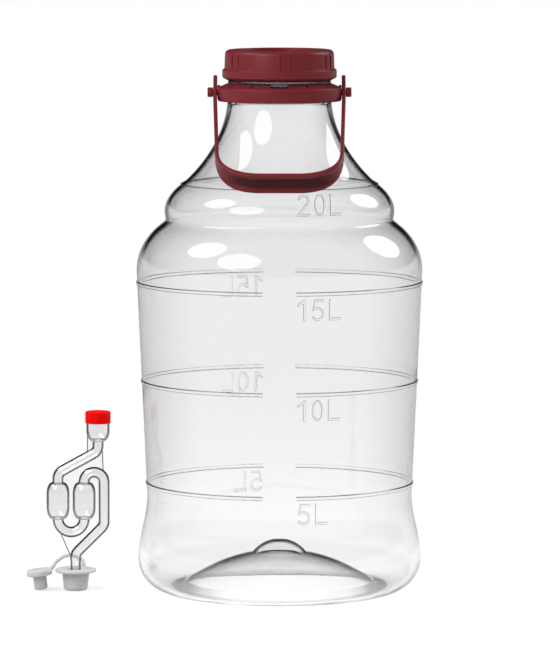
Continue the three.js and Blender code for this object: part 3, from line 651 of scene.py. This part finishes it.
jarLine = jarOutside()
jarWall = [p for p in jarLine if p[0] >= jarSizes["footOuter"] or p[1] > jarSizes["waistHeight"]]


def wallRadius(z):
    for (lowR, lowZ), (highR, highZ) in zip(jarWall, jarWall[1:]):
        if lowZ <= z <= highZ and highZ > lowZ:
            return between(lowR, highR, (z - lowZ) / (highZ - lowZ))
    return jarSizes["seatRadius"]


def measuringBand(centre):
    j = sizesOf(jarSizes)
    low, high = centre - j.bandHeight / 2, centre + j.bandHeight / 2
    onNeck = centre > j.wallTop
    slope = j.bandSlope / 2 if onNeck else j.bandSlope
    corners = [
        (wallRadius(low) - j.bandBite, low, 0),
        (wallRadius(low) + j.bandProud, low + j.bandSlope / 2, j.bandCorner),
        (wallRadius(high) + j.bandProud, high - slope, j.bandCorner),
        (wallRadius(high) - j.bandBite, high, 0),
    ]
    band = turned("band", rounded(corners, steps=3), j.sides, clearPet, loop=True)
    band.data.materials.append(edgeShadePet)
    lean = math.atan2(wallRadius(low) - wallRadius(high), high - low)
    for face in band.data.polygons:                  # painted shade: the upper edge takes the dark finish, on the body at the front only
        upper = face.normal.z > math.sin(lean + math.radians(j.bandTurn))
        face.material_index = 1 if upper and (onNeck or face.center.y < j.bandDark * mm) else 0
    gap = block("gap", (j.bandGap, *j.gapReach), (0, 0, centre), clearPet)
    return combined(band, gap, "DIFFERENCE")


# outlines of the figures, one unit high, as closed loops
def ringPoints(x, y, rx, ry, start, end, steps):
    angles = [math.radians(between(start, end, i / steps)) for i in range(steps + 1)]
    return [(x + rx * math.cos(a), y + ry * math.sin(a)) for a in angles]


figureShapes = {
    "0": (0.58, [
        ringPoints(0.29, 0.5, 0.29, 0.5, 0, 350, 35), ringPoints(0.29, 0.5, 0.165, 0.385, 0, -350, 35)]),
    "1": (0.38, [[(0.247, 0), (0.38, 0), (0.38, 1), (0.3, 1), (0, 0.765), (0, 0.635), (0.247, 0.775)]]),
    "2": (0.6, [
        ringPoints(0.3, 0.71, 0.165, 0.165, 175, -35, 20)
        + [(0, 0.11), (0, 0), (0.6, 0), (0.6, 0.125), (0.19, 0.125)]
        + ringPoints(0.3, 0.71, 0.29, 0.29, -35, 175, 24)]),
    "5": (0.63, [
        [(0.59, 1), (0.123, 1), (0.02, 0.465)] + ringPoints(0.3, 0.325, 0.2025, 0.2025, 142, -155, 24)
        + ringPoints(0.3, 0.325, 0.3275, 0.3275, -155, 118, 24) + [(0.225, 0.875), (0.59, 0.875)]]),
    "L": (0.63, [[(0, 0), (0.63, 0), (0.63, 0.14), (0.125, 0.14), (0.125, 1), (0, 1)]]),
}


# a loop drawn in by a margin, towards its left
def drawnIn(loop, margin):
    out = []
    for last, here, following in zip(loop[-1:] + loop[:-1], loop, loop[1:] + loop[:1]):
        before = (Vector(here) - Vector(last)).normalized()
        after = (Vector(following) - Vector(here)).normalized()
        sides = Vector((-before.y, before.x)) + Vector((-after.y, after.x))
        out.append(tuple(Vector(here) + sides * margin / max(0.4, 1 + before.dot(after))))
    return out


# figures moulded on the wall: flat shapes with sloping sides, cut into strips and wrapped round the jar
def litreFigures(words, ringHeight, turn):
    m = sizesOf(markStyle)
    build = bmesh.new()
    along = 0
    for letter in words:
        width, loops = figureShapes[letter]
        feet, heads = [], []
        for loop in loops:
            rows = []
            for points, level, edges in ((loop, 0, feet), (drawnIn(loop, m.slope), 1, heads)):
                row = [build.verts.new((x + along, y, level)) for x, y in points]
                edges += [build.edges.new((row[i - 1], row[i])) for i in range(len(row))]
                rows.append(row)
            for i in range(len(loop)):
                build.faces.new((rows[0][i - 1], rows[0][i], rows[1][i], rows[1][i - 1]))
        for edges in (feet, heads):
            bmesh.ops.triangle_fill(build, edges=edges, use_beauty=True)
        along += width + m.gaps.get(letter, m.gap)
    lowX, highX = min(v.co.x for v in build.verts), max(v.co.x for v in build.verts)
    lowY, highY = min(v.co.y for v in build.verts), max(v.co.y for v in build.verts)
    scale = m.height / (highY - lowY)
    strips = int((highX - lowX) * scale / m.strip)
    cutting = ((1, 0, 0), lowX, highX, strips), ((0, 1, 0), lowY, highY, m.rows)
    for axis, low, high, count in cutting:
        for i in range(1, count):
            cut = Vector(axis) * between(low, high, i / count)
            parts = build.verts[:] + build.edges[:] + build.faces[:]
            bmesh.ops.bisect_plane(build, geom=parts, plane_co=cut, plane_no=axis, dist=weld / 2)
    bmesh.ops.triangulate(build, faces=build.faces)
    top = ringHeight + jarSizes["bandHeight"] / 2 - m.drop
    for vert in build.verts:
        across = (vert.co.x - lowX) * scale + m.left
        z = top - (highY - vert.co.y) * scale
        depth = between(-m.bite, m.proud, vert.co.z)
        radius = wallRadius(z)
        angle = across / radius + turn
        vert.co = Vector((math.sin(angle) * (radius + depth), -math.cos(angle) * (radius + depth), z)) * mm
    bmesh.ops.recalc_face_normals(build, faces=build.faces)
    if build.calc_volume(signed=True) < 0:           # thin curved shells can come out turned in
        bmesh.ops.reverse_faces(build, faces=build.faces)
    return pieceOf("figures", build, clearPet, edgeShadePet)


# painted shade: the sloping sides of the figures take the dark finish: faces that don't lie along the wall
def shadeFigures(jar):
    drops = jarSizes["bandHeight"] / 2 - markStyle["drop"]
    zones = [(height + drops - markStyle["height"] - 1, height + drops + 1) for height in litreMarks.values()]
    for face in jar.data.polygons:
        x, y, z = face.center / mm
        reach = math.hypot(x, y)
        if any(low < z < high for low, high in zones) and reach > wallRadius(z) - markStyle["bite"]:
            lean = wallRadius(z + 0.5) - wallRadius(z - 0.5)
            along = (face.normal.x * x + face.normal.y * y) / reach - face.normal.z * lean
            face.material_index = 1 if along / math.hypot(1, lean) < markStyle["steep"] else 0


# a screw ridge as rings of four corners, with tapered ends
def screwRidge(wall, crest, startZ, startAngle, finish):
    j = sizesOf(jarSizes)
    bite = math.copysign(j.threadBite, wall - crest)
    build = bmesh.new()
    rings = []
    for i in range(j.threadSteps + 1):
        share = i / j.threadSteps
        angle = startAngle + math.radians(j.threadSweep) * share
        z = startZ + j.threadLead * j.threadSweep * share / 360
        peak = between(wall, crest, min(1, j.threadTaper * min(share, 1 - share) + j.threadBlunt))
        ring = []
        for r, rise in (
            (wall + bite, -j.threadRoot / 2), (peak, -j.threadCrest / 2),
            (peak, j.threadCrest / 2), (wall + bite, j.threadRoot / 2),
        ):
            ring.append(build.verts.new(Vector((r * math.cos(angle), r * math.sin(angle), z + rise)) * mm))
        rings.append(ring)
    for a, b in zip(rings, rings[1:]):
        for k in range(4):
            build.faces.new((a[k], a[(k + 1) % 4], b[(k + 1) % 4], b[k]))
    build.faces.new(rings[0][::-1])
    build.faces.new(rings[-1])
    bmesh.ops.recalc_face_normals(build, faces=build.faces)
    return pieceOf("ridge", build, finish)


def threaded(piece, wall, crest, startZ, finish):
    for start in (0, math.pi):
        combined(piece, screwRidge(wall, crest, startZ, start, finish), "UNION")


def makeJar():
    j = sizesOf(jarSizes)
    inside = jarInside(jarLine)
    rim = rounded([
        (j.neckRadius, j.neckHeight, 0),
        (j.seatRadius, j.seatHeight, 1.5), (j.seatRadius, j.ringLow, 0.4),
        (j.ringRadius, j.ringLow, 0.6), (j.ringRadius, j.ringHigh, 0.6),
        (j.finishRadius, j.ringHigh, 0.4), (j.finishRadius, j.lip, 0.8),
        (j.bore, j.lip, 0.8), (j.bore, j.seatHeight + 9, 6), (*inside[-1], 0),
    ], loop=False)
    jar = turned("jar", jarLine + rim[1:-1] + inside[::-1], j.sides, clearPet)
    for finish in jarFinishes[1:]:
        jar.data.materials.append(finish)
    inner, outer = j.footFrost
    for face in jar.data.polygons:
        reach, z = math.hypot(face.center.x, face.center.y) / mm, face.center.z / mm
        # painted shade: all faces above the seat take the dark neck finish
        if z > j.seatHeight:
            face.material_index = jarFinishes.index(neckShadePet)
        elif inner < reach < outer and z < j.footHigh and face.normal.z > 0.3:
            face.material_index = jarFinishes.index(footPet)    # the frosted ring under the jar, from inside, with painted shade greying it to the sides
        # painted shade: the punt dome takes the finish with dark edges
        elif reach < inner and z < j.tipRise + 2 * j.baseWall:
            face.material_index = jarFinishes.index(domePet)
    inTriangles(jar)
    for centre in litreMarks.values():
        combined(jar, measuringBand(centre), "UNION")
    for words, height in litreMarks.items():
        combined(jar, litreFigures(words, height, 0), "UNION")
        if height < j.wallTop:
            combined(jar, litreFigures(words, height, math.pi), "UNION")
    shadeFigures(jar)
    threaded(jar, j.finishRadius, j.finishRadius + j.threadDepth, j.threadStart, clearPet)
    moved(jar, jarX)
    return done(smooth(jar, 30), "jar", "jar_body")


makeJar()


# handle collar: a cone-topped ring with slits, windows and the handle's pins
collarSizes = dict(
    low=474.5, skirtLow=473.2, height=15.7, inner=47.5, radius=59.2, wall=2.4, roof=3, coneTop=49.5, cone=4.3,
    slits=12, slitWidth=1.6, slitDepth=2.6, window=17.5, reach=11.7,
    pinHeight=6.9, boss=7, bossEnd=59.5, pin=3.3, head=4.65, headStart=63.8, headEnd=69, sides=144,
)


def makePin(side):
    c = sizesOf(collarSizes)
    corners = [
        (0, c.radius - c.wall, 0), (c.boss, c.radius - c.wall, 0), (c.boss, c.bossEnd, 0.6),
        (c.pin, c.bossEnd, 0.2), (c.pin, c.headStart, 0.2), (c.head, c.headStart, 0.4),
        (c.head, c.headEnd, 0.9), (0, c.headEnd, 0),
    ]
    pin = turned("pin", rounded(corners, loop=False), 48, burgundy)
    tilt = Matrix.Rotation(side * math.pi / 2, 4, "Y")
    return moved(pin, z=(c.low + c.pinHeight) * mm, turn=tilt)


def makeCollar():
    c = sizesOf(collarSizes)
    top = c.low + c.height
    cone = top - c.cone
    inside, skirt = c.inner + c.wall, c.radius - c.wall
    corners = [
        (c.inner, c.low, 0.3), (inside, c.low, 0.3), (inside, cone - c.roof, 0.6),
        (skirt, cone - c.roof, 0.6), (skirt, c.skirtLow, 0.3), (c.radius, c.skirtLow, 0.9),
        (c.radius, cone, 1.3), (c.coneTop, top, 0.3), (c.inner, top, 0.3),
    ]
    collar = turned("collar", rounded(corners), c.sides, burgundy, loop=True)
    collar.data.materials.append(slitShadeBurgundy)
    for side in (-1, 1):
        combined(collar, makePin(side), "UNION")
    middle = 1 - c.inner - c.reach / 2
    for count, width in ((c.slits, c.slitWidth), (2, c.window)):
        cutter = block("slit", (width, c.reach, 2 * c.slitDepth), (0, middle, top), burgundy)
        cutters = repeated("slits", cutter, count, 0.0, burgundy)
        cutters.data.materials.append(slitShadeBurgundy)
        for face in cutters.data.polygons:
            face.material_index = 1                  # the cut faces of slits and windows get painted shade, a dark copy of the burgundy
        combined(collar, cutters, "DIFFERENCE")
    moved(collar, jarX)
    return done(smooth(collar), "jar", "handle_collar")


makeCollar()


# bail: a strip bent round three sides, narrow in its arms, with a soft channel along the outside of its bar,
# darkened with painted shade
bailSizes = dict(
    lean=52.25, pivot=481.4, arm=59.8, thickness=3.7, armWidth=12, width=21.9, tail=16, straight=9, taper=2.4,
    cornerRise=38, cornerReach=40, cornerGrowth=8, flare=41, reach=131.5, bar=4.8, hole=3.6, edge=1.1,
    channel=15.6, channelDepth=3, channelLeft=1.3, channelSoft=0.5, channelFade=(34, 58), holeReach=80,
)


def eased(value, low, high):
    share = min(1, max(0, (value - low) / (high - low)))
    return share * share * (3 - 2 * share)


# half of the strip's path, as pairs of points inside and outside, from its rounded end to the bar's middle
def bailPath():
    b = sizesOf(bailSizes)
    near, far = b.reach - b.bar / 2, b.reach + b.bar / 2
    low = b.arm - b.taper
    flat = low - b.cornerReach
    end = [b.tail + b.armWidth / 2 * math.sin(math.pi / 2 * (12 - i) / 12) for i in range(1, 13)]
    arm = [between(b.tail, -b.straight, i / 8) for i in range(1, 9)]
    pairs = [((b.arm, z), (b.arm + b.thickness, z)) for z in end + arm]
    bendTop = (low, b.cornerRise - near), (low + b.thickness, b.cornerRise + b.cornerGrowth - far)
    start = pairs[-1]
    for i in range(1, 17):
        pairs.append(tuple(pointBetween(start[s], bendTop[s], i / 16) for s in (0, 1)))
    inner = quadratic(bendTop[0], (low, -near), (flat, -near), 28)
    outer = quadratic(bendTop[1], (low + b.thickness, -far), (flat, -far), 28)
    pairs += list(zip(inner, outer))
    return pairs + [((flat * (1 - i / 6), -near), (flat * (1 - i / 6), -far)) for i in range(1, 7)]


def bailHalfWidth(z):
    b = sizesOf(bailSizes)
    arm, near = b.armWidth / 2, b.reach - b.bar / 2
    if z > b.tail:
        return math.sqrt(max(0.2, arm ** 2 - (z - b.tail) ** 2))
    return between(arm, b.width / 2, eased(-z, near - b.flare, near))


# how deep the channel is here: soft across it, and fading out round the bends
def channelShare(x, y, z):
    b = sizesOf(bailSizes)
    if z > -b.reach / 2:
        return 0
    across = eased(1 - abs(2 * y / b.channel), 0, b.channelSoft)
    return across * (1 - eased(abs(x), *b.channelFade))


# one ring of the strip: across its width on the inside, and back on the outside, over the channel
def bailRing(inside, outside):
    b = sizesOf(bailSizes)
    outward = (outside - inside).normalized()
    thick = (outside - inside).length
    half = bailHalfWidth(inside.y)
    edge = min(b.edge, 0.45 * thick, 0.6 * half)
    deep = min(b.channelDepth, thick - b.channelLeft)
    corner = [(edge * (1 - math.cos(t)), edge * (1 - math.sin(t))) for t in (0, 0.4, 0.8, 1.18, math.pi / 2)]
    ring = [(-half + along, drop, 0) for along, drop in corner]
    ring += [(between(-half + edge, half - edge, i / 4), 0, 0) for i in range(1, 4)]
    ring += [(half - along, drop, 0) for along, drop in corner[::-1]]
    ring += [(half - along, thick - drop, 0) for along, drop in corner]
    for i in range(1, 28):
        y = between(half - edge, edge - half, i / 28)
        share = channelShare(inside.x, y, inside.y)
        ring.append((y, thick - deep * share, share))
    ring += [(-half + along, thick - drop, 0) for along, drop in corner[::-1]]
    points = [Vector((inside.x + outward.x * v, y, inside.y + outward.y * v)) * mm for y, v, share in ring]
    return points, [share for y, v, share in ring]


def makeBail():
    b = sizesOf(bailSizes)
    rings = [bailRing(Vector(inside), Vector(outside)) for inside, outside in bailPath()]
    rings += [([Vector((-p.x, p.y, p.z)) for p in points], shares) for points, shares in rings[-2::-1]]
    build = bmesh.new()
    # channelShade: painted shade on the ground of the channel, as strong as the channel is deep
    shade = build.verts.layers.float.new("channelShade")
    rows = []
    for points, shares in rings:
        rows.append([build.verts.new(p) for p in points])
        for vert, share in zip(rows[-1], shares):
            vert[shade] = share
    for a, c in zip(rows, rows[1:]):
        for k in range(len(a)):
            build.faces.new((a[k - 1], a[k], c[k], c[k - 1]))
    build.faces.new(rows[0])
    build.faces.new(rows[-1][::-1])
    bmesh.ops.recalc_face_normals(build, faces=build.faces)
    bail = pieceOf("bail", build, burgundy)
    far = b.holeReach
    rod = turned("rod", [(0, -far), (b.hole, -far), (b.hole, far), (0, far)], 40, burgundy)
    combined(bail, moved(rod, turn=Matrix.Rotation(math.pi / 2, 4, "Y")), "DIFFERENCE")
    lean = Matrix.Rotation(-math.radians(b.lean), 4, "X")
    moved(bail, jarX, 0, b.pivot * mm, lean)
    return done(smooth(bail, 40), "bail", "bail_handle")


makeBail()


# screw cap: a cup with a flange, a sunk panel with pairs of ribs, and a sunk top round its hole
capSizes = dict(
    low=492.8, inside=48.5, radius=53, edge=0.8, flange=54.9, flangeLow=2.4, flangeHigh=10.1, foot=52.8,
    brow=52.1, panelLow=11.7, panelHigh=24, top=29.5, corner=4.4, recess=36.5, recessShade=0.5, roofLow=21.8,
    roofHigh=24, hole=12.65, ribPairs=6, ribWidth=3.6, ribDepth=1.6, ribRadius=52.65, ribPitch=9.7,
    ribTurn=4.5, ribEdge=0.55, threadStart=496.5, sides=160,
)


def makeCap():
    c = sizesOf(capSizes)
    low = c.low
    corners = [
        (c.inside, low, 0.3), (c.inside + c.edge, low, 0.3), (c.flange - 1, low + c.flangeLow, 0.5),
        (c.flange, low + c.flangeLow + 1, 0.5), (c.flange, low + c.flangeHigh, 0.8),
        (c.foot, low + c.panelLow, 0.5), (c.brow, low + c.top, c.corner),
        (c.recess, low + c.top, 1), (c.recess, low + c.roofHigh, 0.8),
        (c.hole, low + c.roofHigh, 0.5), (c.hole, low + c.roofLow, 0.3),
        (c.inside, low + c.roofLow, 0.8),
    ]
    cap = turned("cap", rounded(corners), c.sides, burgundy, loop=True)
    tall = c.panelHigh - c.panelLow + 2
    middle = low + (c.panelHigh + c.panelLow) / 2
    for side in (-1, 1):
        size, place = (c.ribWidth, c.ribDepth, tall), (0, -c.ribRadius, middle)
        rib = block("rib", size, place, burgundy, c.ribEdge)
        start = side * c.ribPitch / 2 / c.radius + math.radians(c.ribTurn)
        combined(cap, repeated("ribs", rib, c.ribPairs, start, burgundy), "UNION")
    threaded(cap, c.inside, c.inside - jarSizes["threadDepth"], c.threadStart, burgundy)
    shade = cap.data.attributes.new("channelShade", "FLOAT", "POINT")
    for i, vert in enumerate(cap.data.vertices):     # the sunk top gets painted shade, darker than the rest
        x, y, z = vert.co / mm
        sunk = math.hypot(x, y) < c.recess + 0.5 and low + c.roofHigh - 0.5 < z < low + c.top - 1.2
        shade.data[i].value = c.recessShade if sunk else 0
    moved(cap, jarX)
    return done(smooth(cap), "cap", "screw_cap")


makeCap()


# airlock: a bent tube through two chambers and a bowl, held by thin webs, drawn from the tip of its stem
airlockSizes = dict(
    tube=5.35, wall=0.9, tip=4.2, tipLength=7, tipStep=0.6, stemLow=4.65, stemHigh=5.2, stemLength=31.7,
    riserX=27.7, riserLow=62, chamber=11.1, chamberLow=68, chamberHigh=104, chamberCorner=11, rightX=8.4,
    leftX=-16.8, bowlX=22, bowl=11.2, bowlLow=143.8, bowlTop=171.4, bowlCorner=10, crossLow=112.6,
    crossHigh=134, elbow=9, web=1.3, webBevel=0.4, webRim=0.5, lift=0.8, sides=40, wideSides=64,
)
styrenes = [clearStyrene, edgeShadeStyrene, wideStyrene, flatStyrene]


def arc(x, z, radius, start, end, steps):
    angles = [math.radians(between(start, end, i / steps)) for i in range(1, steps)]
    return [(x + radius * math.cos(a), z + radius * math.sin(a), 0) for a in angles]


def airlockRoute():
    a = sizesOf(airlockSizes)
    left, right, riser, bowl = a.leftX, a.rightX, a.riserX, a.bowlX
    corners = [
        (bowl, a.bowlLow + 2 * a.wall, 0), (bowl, a.crossHigh, a.elbow),
        (left, a.crossLow, a.elbow), (left, a.chamberLow, 0),
    ]
    corners += arc((left + right) / 2, a.chamberLow, (right - left) / 2, 180, 360, 20)
    corners += [(right, a.chamberLow, 0), (right, a.chamberHigh, 0)]
    corners += arc((right + riser) / 2, a.chamberHigh, (riser - right) / 2, 180, 0, 18)
    corners += [
        (riser, a.chamberHigh, 0), (riser, a.riserLow, a.elbow),
        (0, a.riserLow - riser, a.elbow), (0, a.stemLength - 4, 0),
    ]
    return [(x, 0, z) for x, z in rounded(corners, loop=False, steps=10)]


# a quarter of an oval, from the tube's edge out to the wall of a chamber, or back
def ovalEnd(radius, tubeRadius, end, rise, back=False):
    angles = [math.pi / 2 * i / 8 for i in range(9)]
    points = [(between(tubeRadius, radius, math.sin(a)), end + rise * (1 - math.cos(a))) for a in angles]
    return points[::-1] if back else points


def inStyrene(piece, styrene):
    for finish in styrenes[1:]:
        piece.data.materials.append(finish)
    for face in piece.data.polygons:
        face.material_index = styrenes.index(styrene)
    return piece


# the airlock's solid shape, or the space inside it when it is shrunk by the wall
def airlockParts(shrink):
    a = sizesOf(airlockSizes)
    over = 1 if shrink else 0
    tubeRadius, corner = a.tube - shrink, a.chamberCorner - shrink / 2
    parts = inStyrene(tube("airlock", airlockRoute(), tubeRadius, a.sides, clearStyrene), clearStyrene)
    low, high, radius = a.chamberLow + shrink, a.chamberHigh - shrink, a.chamber - shrink
    barrel = [(0, low)] + ovalEnd(radius, tubeRadius, low, corner)
    barrel += ovalEnd(radius, tubeRadius, high, -corner, back=True) + [(0, high)]
    for x in (a.leftX, a.rightX):
        chamber = inStyrene(turned("chamber", barrel, a.wideSides, clearStyrene), wideStyrene)
        combined(parts, moved(chamber, x * mm), "UNION")
    low, high, radius = a.bowlLow + shrink, a.bowlTop + over, a.bowl - shrink
    cup = [(0, low)] + ovalEnd(radius, tubeRadius, low, a.bowlCorner - shrink / 2)
    cup += [(radius, high), (0, high)]
    bowl = inStyrene(turned("bowl", cup, a.wideSides, clearStyrene), wideStyrene)
    combined(parts, moved(bowl, a.bowlX * mm), "UNION")
    stem = [
        (0, -over), (a.tip - shrink, -over), (a.tip - shrink, a.tipLength - a.tipStep),
        (a.stemLow - shrink, a.tipLength), (a.stemHigh - shrink, a.stemLength), (0, a.stemLength),
    ]
    return combined(parts, turned("stem", stem, a.sides, clearStyrene), "UNION")


def makeWeb(points):
    a = sizesOf(airlockSizes)
    thickness = a.web
    build = bmesh.new()
    front = build.faces.new([build.verts.new(Vector((x, -thickness / 2, z)) * mm) for x, z in points])
    raised = bmesh.ops.extrude_face_region(build, geom=[front])["geom"]
    shift = Vector((0, thickness * mm, 0))
    bmesh.ops.translate(build, vec=shift, verts=[g for g in raised if isinstance(g, bmesh.types.BMVert)])
    bmesh.ops.recalc_face_normals(build, faces=build.faces)
    rims = [e for e in build.edges if abs(e.verts[0].co.y - e.verts[1].co.y) < mm / 10]
    bmesh.ops.bevel(build, geom=rims, offset=a.webBevel * mm, segments=1, affect="EDGES")
    dark, flat = styrenes.index(edgeShadeStyrene), styrenes.index(flatStyrene)
    for face in build.faces:
        face.material_index = dark if abs(face.normal.y) < 0.9 else flat
    flats = [f for f in build.faces if f.material_index == flat]
    inset = bmesh.ops.inset_region(build, faces=flats, thickness=a.webRim * mm, use_even_offset=True)
    for face in inset["faces"]:
        face.material_index = dark                   # painted shade: the rim reads as a dark line
    return pieceOf("web", build, *styrenes)


# outlines of the webs, whose corners lie inside the tubes that they join
def airlockWebs():
    a = sizesOf(airlockSizes)
    left, riser, bowl = a.leftX, a.riserX, a.bowlX
    rim = bowl - a.bowl + 0.5
    yield [
        (left + 2, a.chamberLow - 14), (-a.stemHigh, a.stemLength), (0, a.stemLength),
        (riser, a.riserLow), (riser, a.chamberHigh), (riser - 1, a.crossHigh), (bowl, a.crossHigh),
        (left, a.crossLow), (left, a.chamberLow),
    ]
    yield [
        (rim, a.crossHigh - 4), (bowl, a.crossHigh), (bowl, a.bowlLow + 3),
        (rim, a.bowlLow + a.bowlCorner),
    ]


def makeAirlock():
    a = sizesOf(airlockSizes)
    airlock = airlockParts(0)
    for points in airlockWebs():
        combined(airlock, makeWeb(points), "UNION")
    combined(airlock, airlockParts(a.wall), "DIFFERENCE")
    moved(airlock, stemX, 0, a.lift * mm)
    airlock.visible_glossy = False                   # the jar beside it doesn't mirror it
    return done(smooth(airlock, 32), "airlock", "airlock_tube")


makeAirlock()


# airlock cap: a push-on cup with vents in its top
airlockCapSizes = dict(
    inside=11.5, radius=12.25, low=161.4, roof=171.7, top=172.9, vents=4, vent=1, ventCircle=7,
    ventSpan=(165, 180),
)


def makeAirlockCap():
    c = sizesOf(airlockCapSizes)
    corners = [
        (0, c.roof, 0), (c.inside, c.roof, 0.4), (c.inside, c.low, 0.2), (c.radius, c.low, 0.3),
        (c.radius, c.top, 1.4), (0, c.top, 0),
    ]
    lid = turned("airlockCap", rounded(corners, loop=False), 96, signalRed)
    low, high = c.ventSpan
    hole = turned("vent", [(0, low), (c.vent, low), (c.vent, high), (0, high)], 20, signalRed)
    vents = repeated("vents", moved(hole, c.ventCircle * mm), c.vents, 0.0, signalRed)
    combined(lid, vents, "DIFFERENCE")
    moved(lid, stemX + airlockSizes["bowlX"] * mm, 0, airlockSizes["lift"] * mm)
    lid.visible_glossy = False                       # the jar beside it doesn't mirror it
    return done(smooth(lid), "airlock_cap", "airlock_cap")


makeAirlockCap()


# bung, plug and the strap that joins them, moulded in one soft piece
bungSizes = dict(
    flange=20, flangeHeight=3, top=13.3, bottom=11.4, height=20.5, mouth=8.5, mouthDepth=9.5, grip=5.02,
    foot=5.42,
)
plugSizes = dict(head=12.3, headHeight=6, radius=6.5, height=19.4, x=-33.5, lift=0.68, tilt=6)
strapSizes = dict(
    width=4.2, thickness=3.1, corner=1.1, flare=0.7, rootX=6.5, rise=10, into=0.7, reach=13.2,
    gap=0.3, inset=1, stand=0.4, leave=(-5, 0.5, 0.85), crownAside=3, arrive=(7, 6, 0.75),
    landing=(2.6, 2.6, 1.6), bend=7,
)


def makeBung():
    b = sizesOf(bungSizes)
    under = b.height - b.flangeHeight
    corners = [
        (b.foot, 0, 0.3), (b.bottom, 0, 3), (b.top, under, 0.8), (b.flange, under, 1.2),
        (b.flange, b.height, 1.2), (b.mouth, b.height, 0.8), (b.grip, b.height - b.mouthDepth, 2),
    ]
    bung = turned("bung", rounded(corners), 96, silicone, loop=True)
    moved(bung, stemX)
    return done(smooth(bung, 50), "bung", "bung")


def makePlug():
    p = sizesOf(plugSizes)
    under = p.height - p.headHeight
    corners = [
        (0, 0, 0), (p.radius, 0, 2.2), (p.radius, under, 0.6), (p.head, under, 1),
        (p.head, p.height, 1.8), (0, p.height, 0),
    ]
    plug = turned("plug", rounded(corners, loop=False), 72, silicone)
    tilt = Matrix.Rotation(-math.radians(p.tilt), 4, "Y")
    moved(plug, stemX + p.x * mm, 0, p.lift * mm, tilt)
    return done(smooth(plug, 50), "plug", "bung_plug")


# a smooth curve through points, each stretch cut into equal steps
def curveThrough(points, steps):
    padded = [2 * points[0] - points[1]] + points + [2 * points[-1] - points[-2]]
    out = []
    for a, b, c, d in zip(padded, padded[1:], padded[2:], padded[3:]):
        for i in range(steps):
            t = i / steps
            square, cube = 2 * a - 5 * b + 4 * c - d, 3 * b - a - 3 * c + d
            out.append(0.5 * (2 * b + (c - a) * t + square * t ** 2 + cube * t ** 3))
    return out + [points[-1]]


def makeStrap():
    s = sizesOf(strapSizes)
    p = sizesOf(plugSizes)
    b = sizesOf(bungSizes)
    root = Vector((s.rootX, b.flange - s.width / 2 - s.inset, b.height + s.gap))
    tilt = Matrix.Rotation(-math.radians(p.tilt), 4, "Y")
    outward = Vector((1, 1, 0)).normalized()
    middle = Vector((0, 0, p.height - p.headHeight / 2))
    place = Vector((p.x, 0, p.lift))
    end = tilt @ (outward * s.reach + middle) + place
    inside = tilt @ (outward * (p.head - s.into) + middle) + place
    crown = (root + end) / 2
    crown.z = root.z
    raised = Matrix.Diagonal((1, 1, s.rise))         # heights are shares of the arch's rise
    points = [
        root - Vector((0, 0, s.gap + s.into)), root + raised @ Vector((0, 0, s.stand)),
        root + raised @ Vector(s.leave), crown + raised @ Vector((0, s.crownAside, 1)),
        end + raised @ Vector(s.arrive), end + Vector(s.landing), inside,
    ]
    line = lineMesh("strap", [q * mm for q in curveThrough(points, 8)])
    sizes = dict(Width=s.width * mm, Thickness=s.thickness * mm, Corner=s.corner * mm, Flare=s.flare)
    strap = tidy(grow("strap", strapTree, line, silicone, **sizes))
    moved(strap, stemX)
    smooth(strap, 50)
    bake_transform(strap)
    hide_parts("bung_strap")
    print("bung_strap made:", len(strap.data.polygons), "faces")
    return strap


makeBung()
makePlug()
makeStrap()

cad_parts["cap_seal"].data.materials.clear()
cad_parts["cap_seal"].data.materials.append(sealRubber)
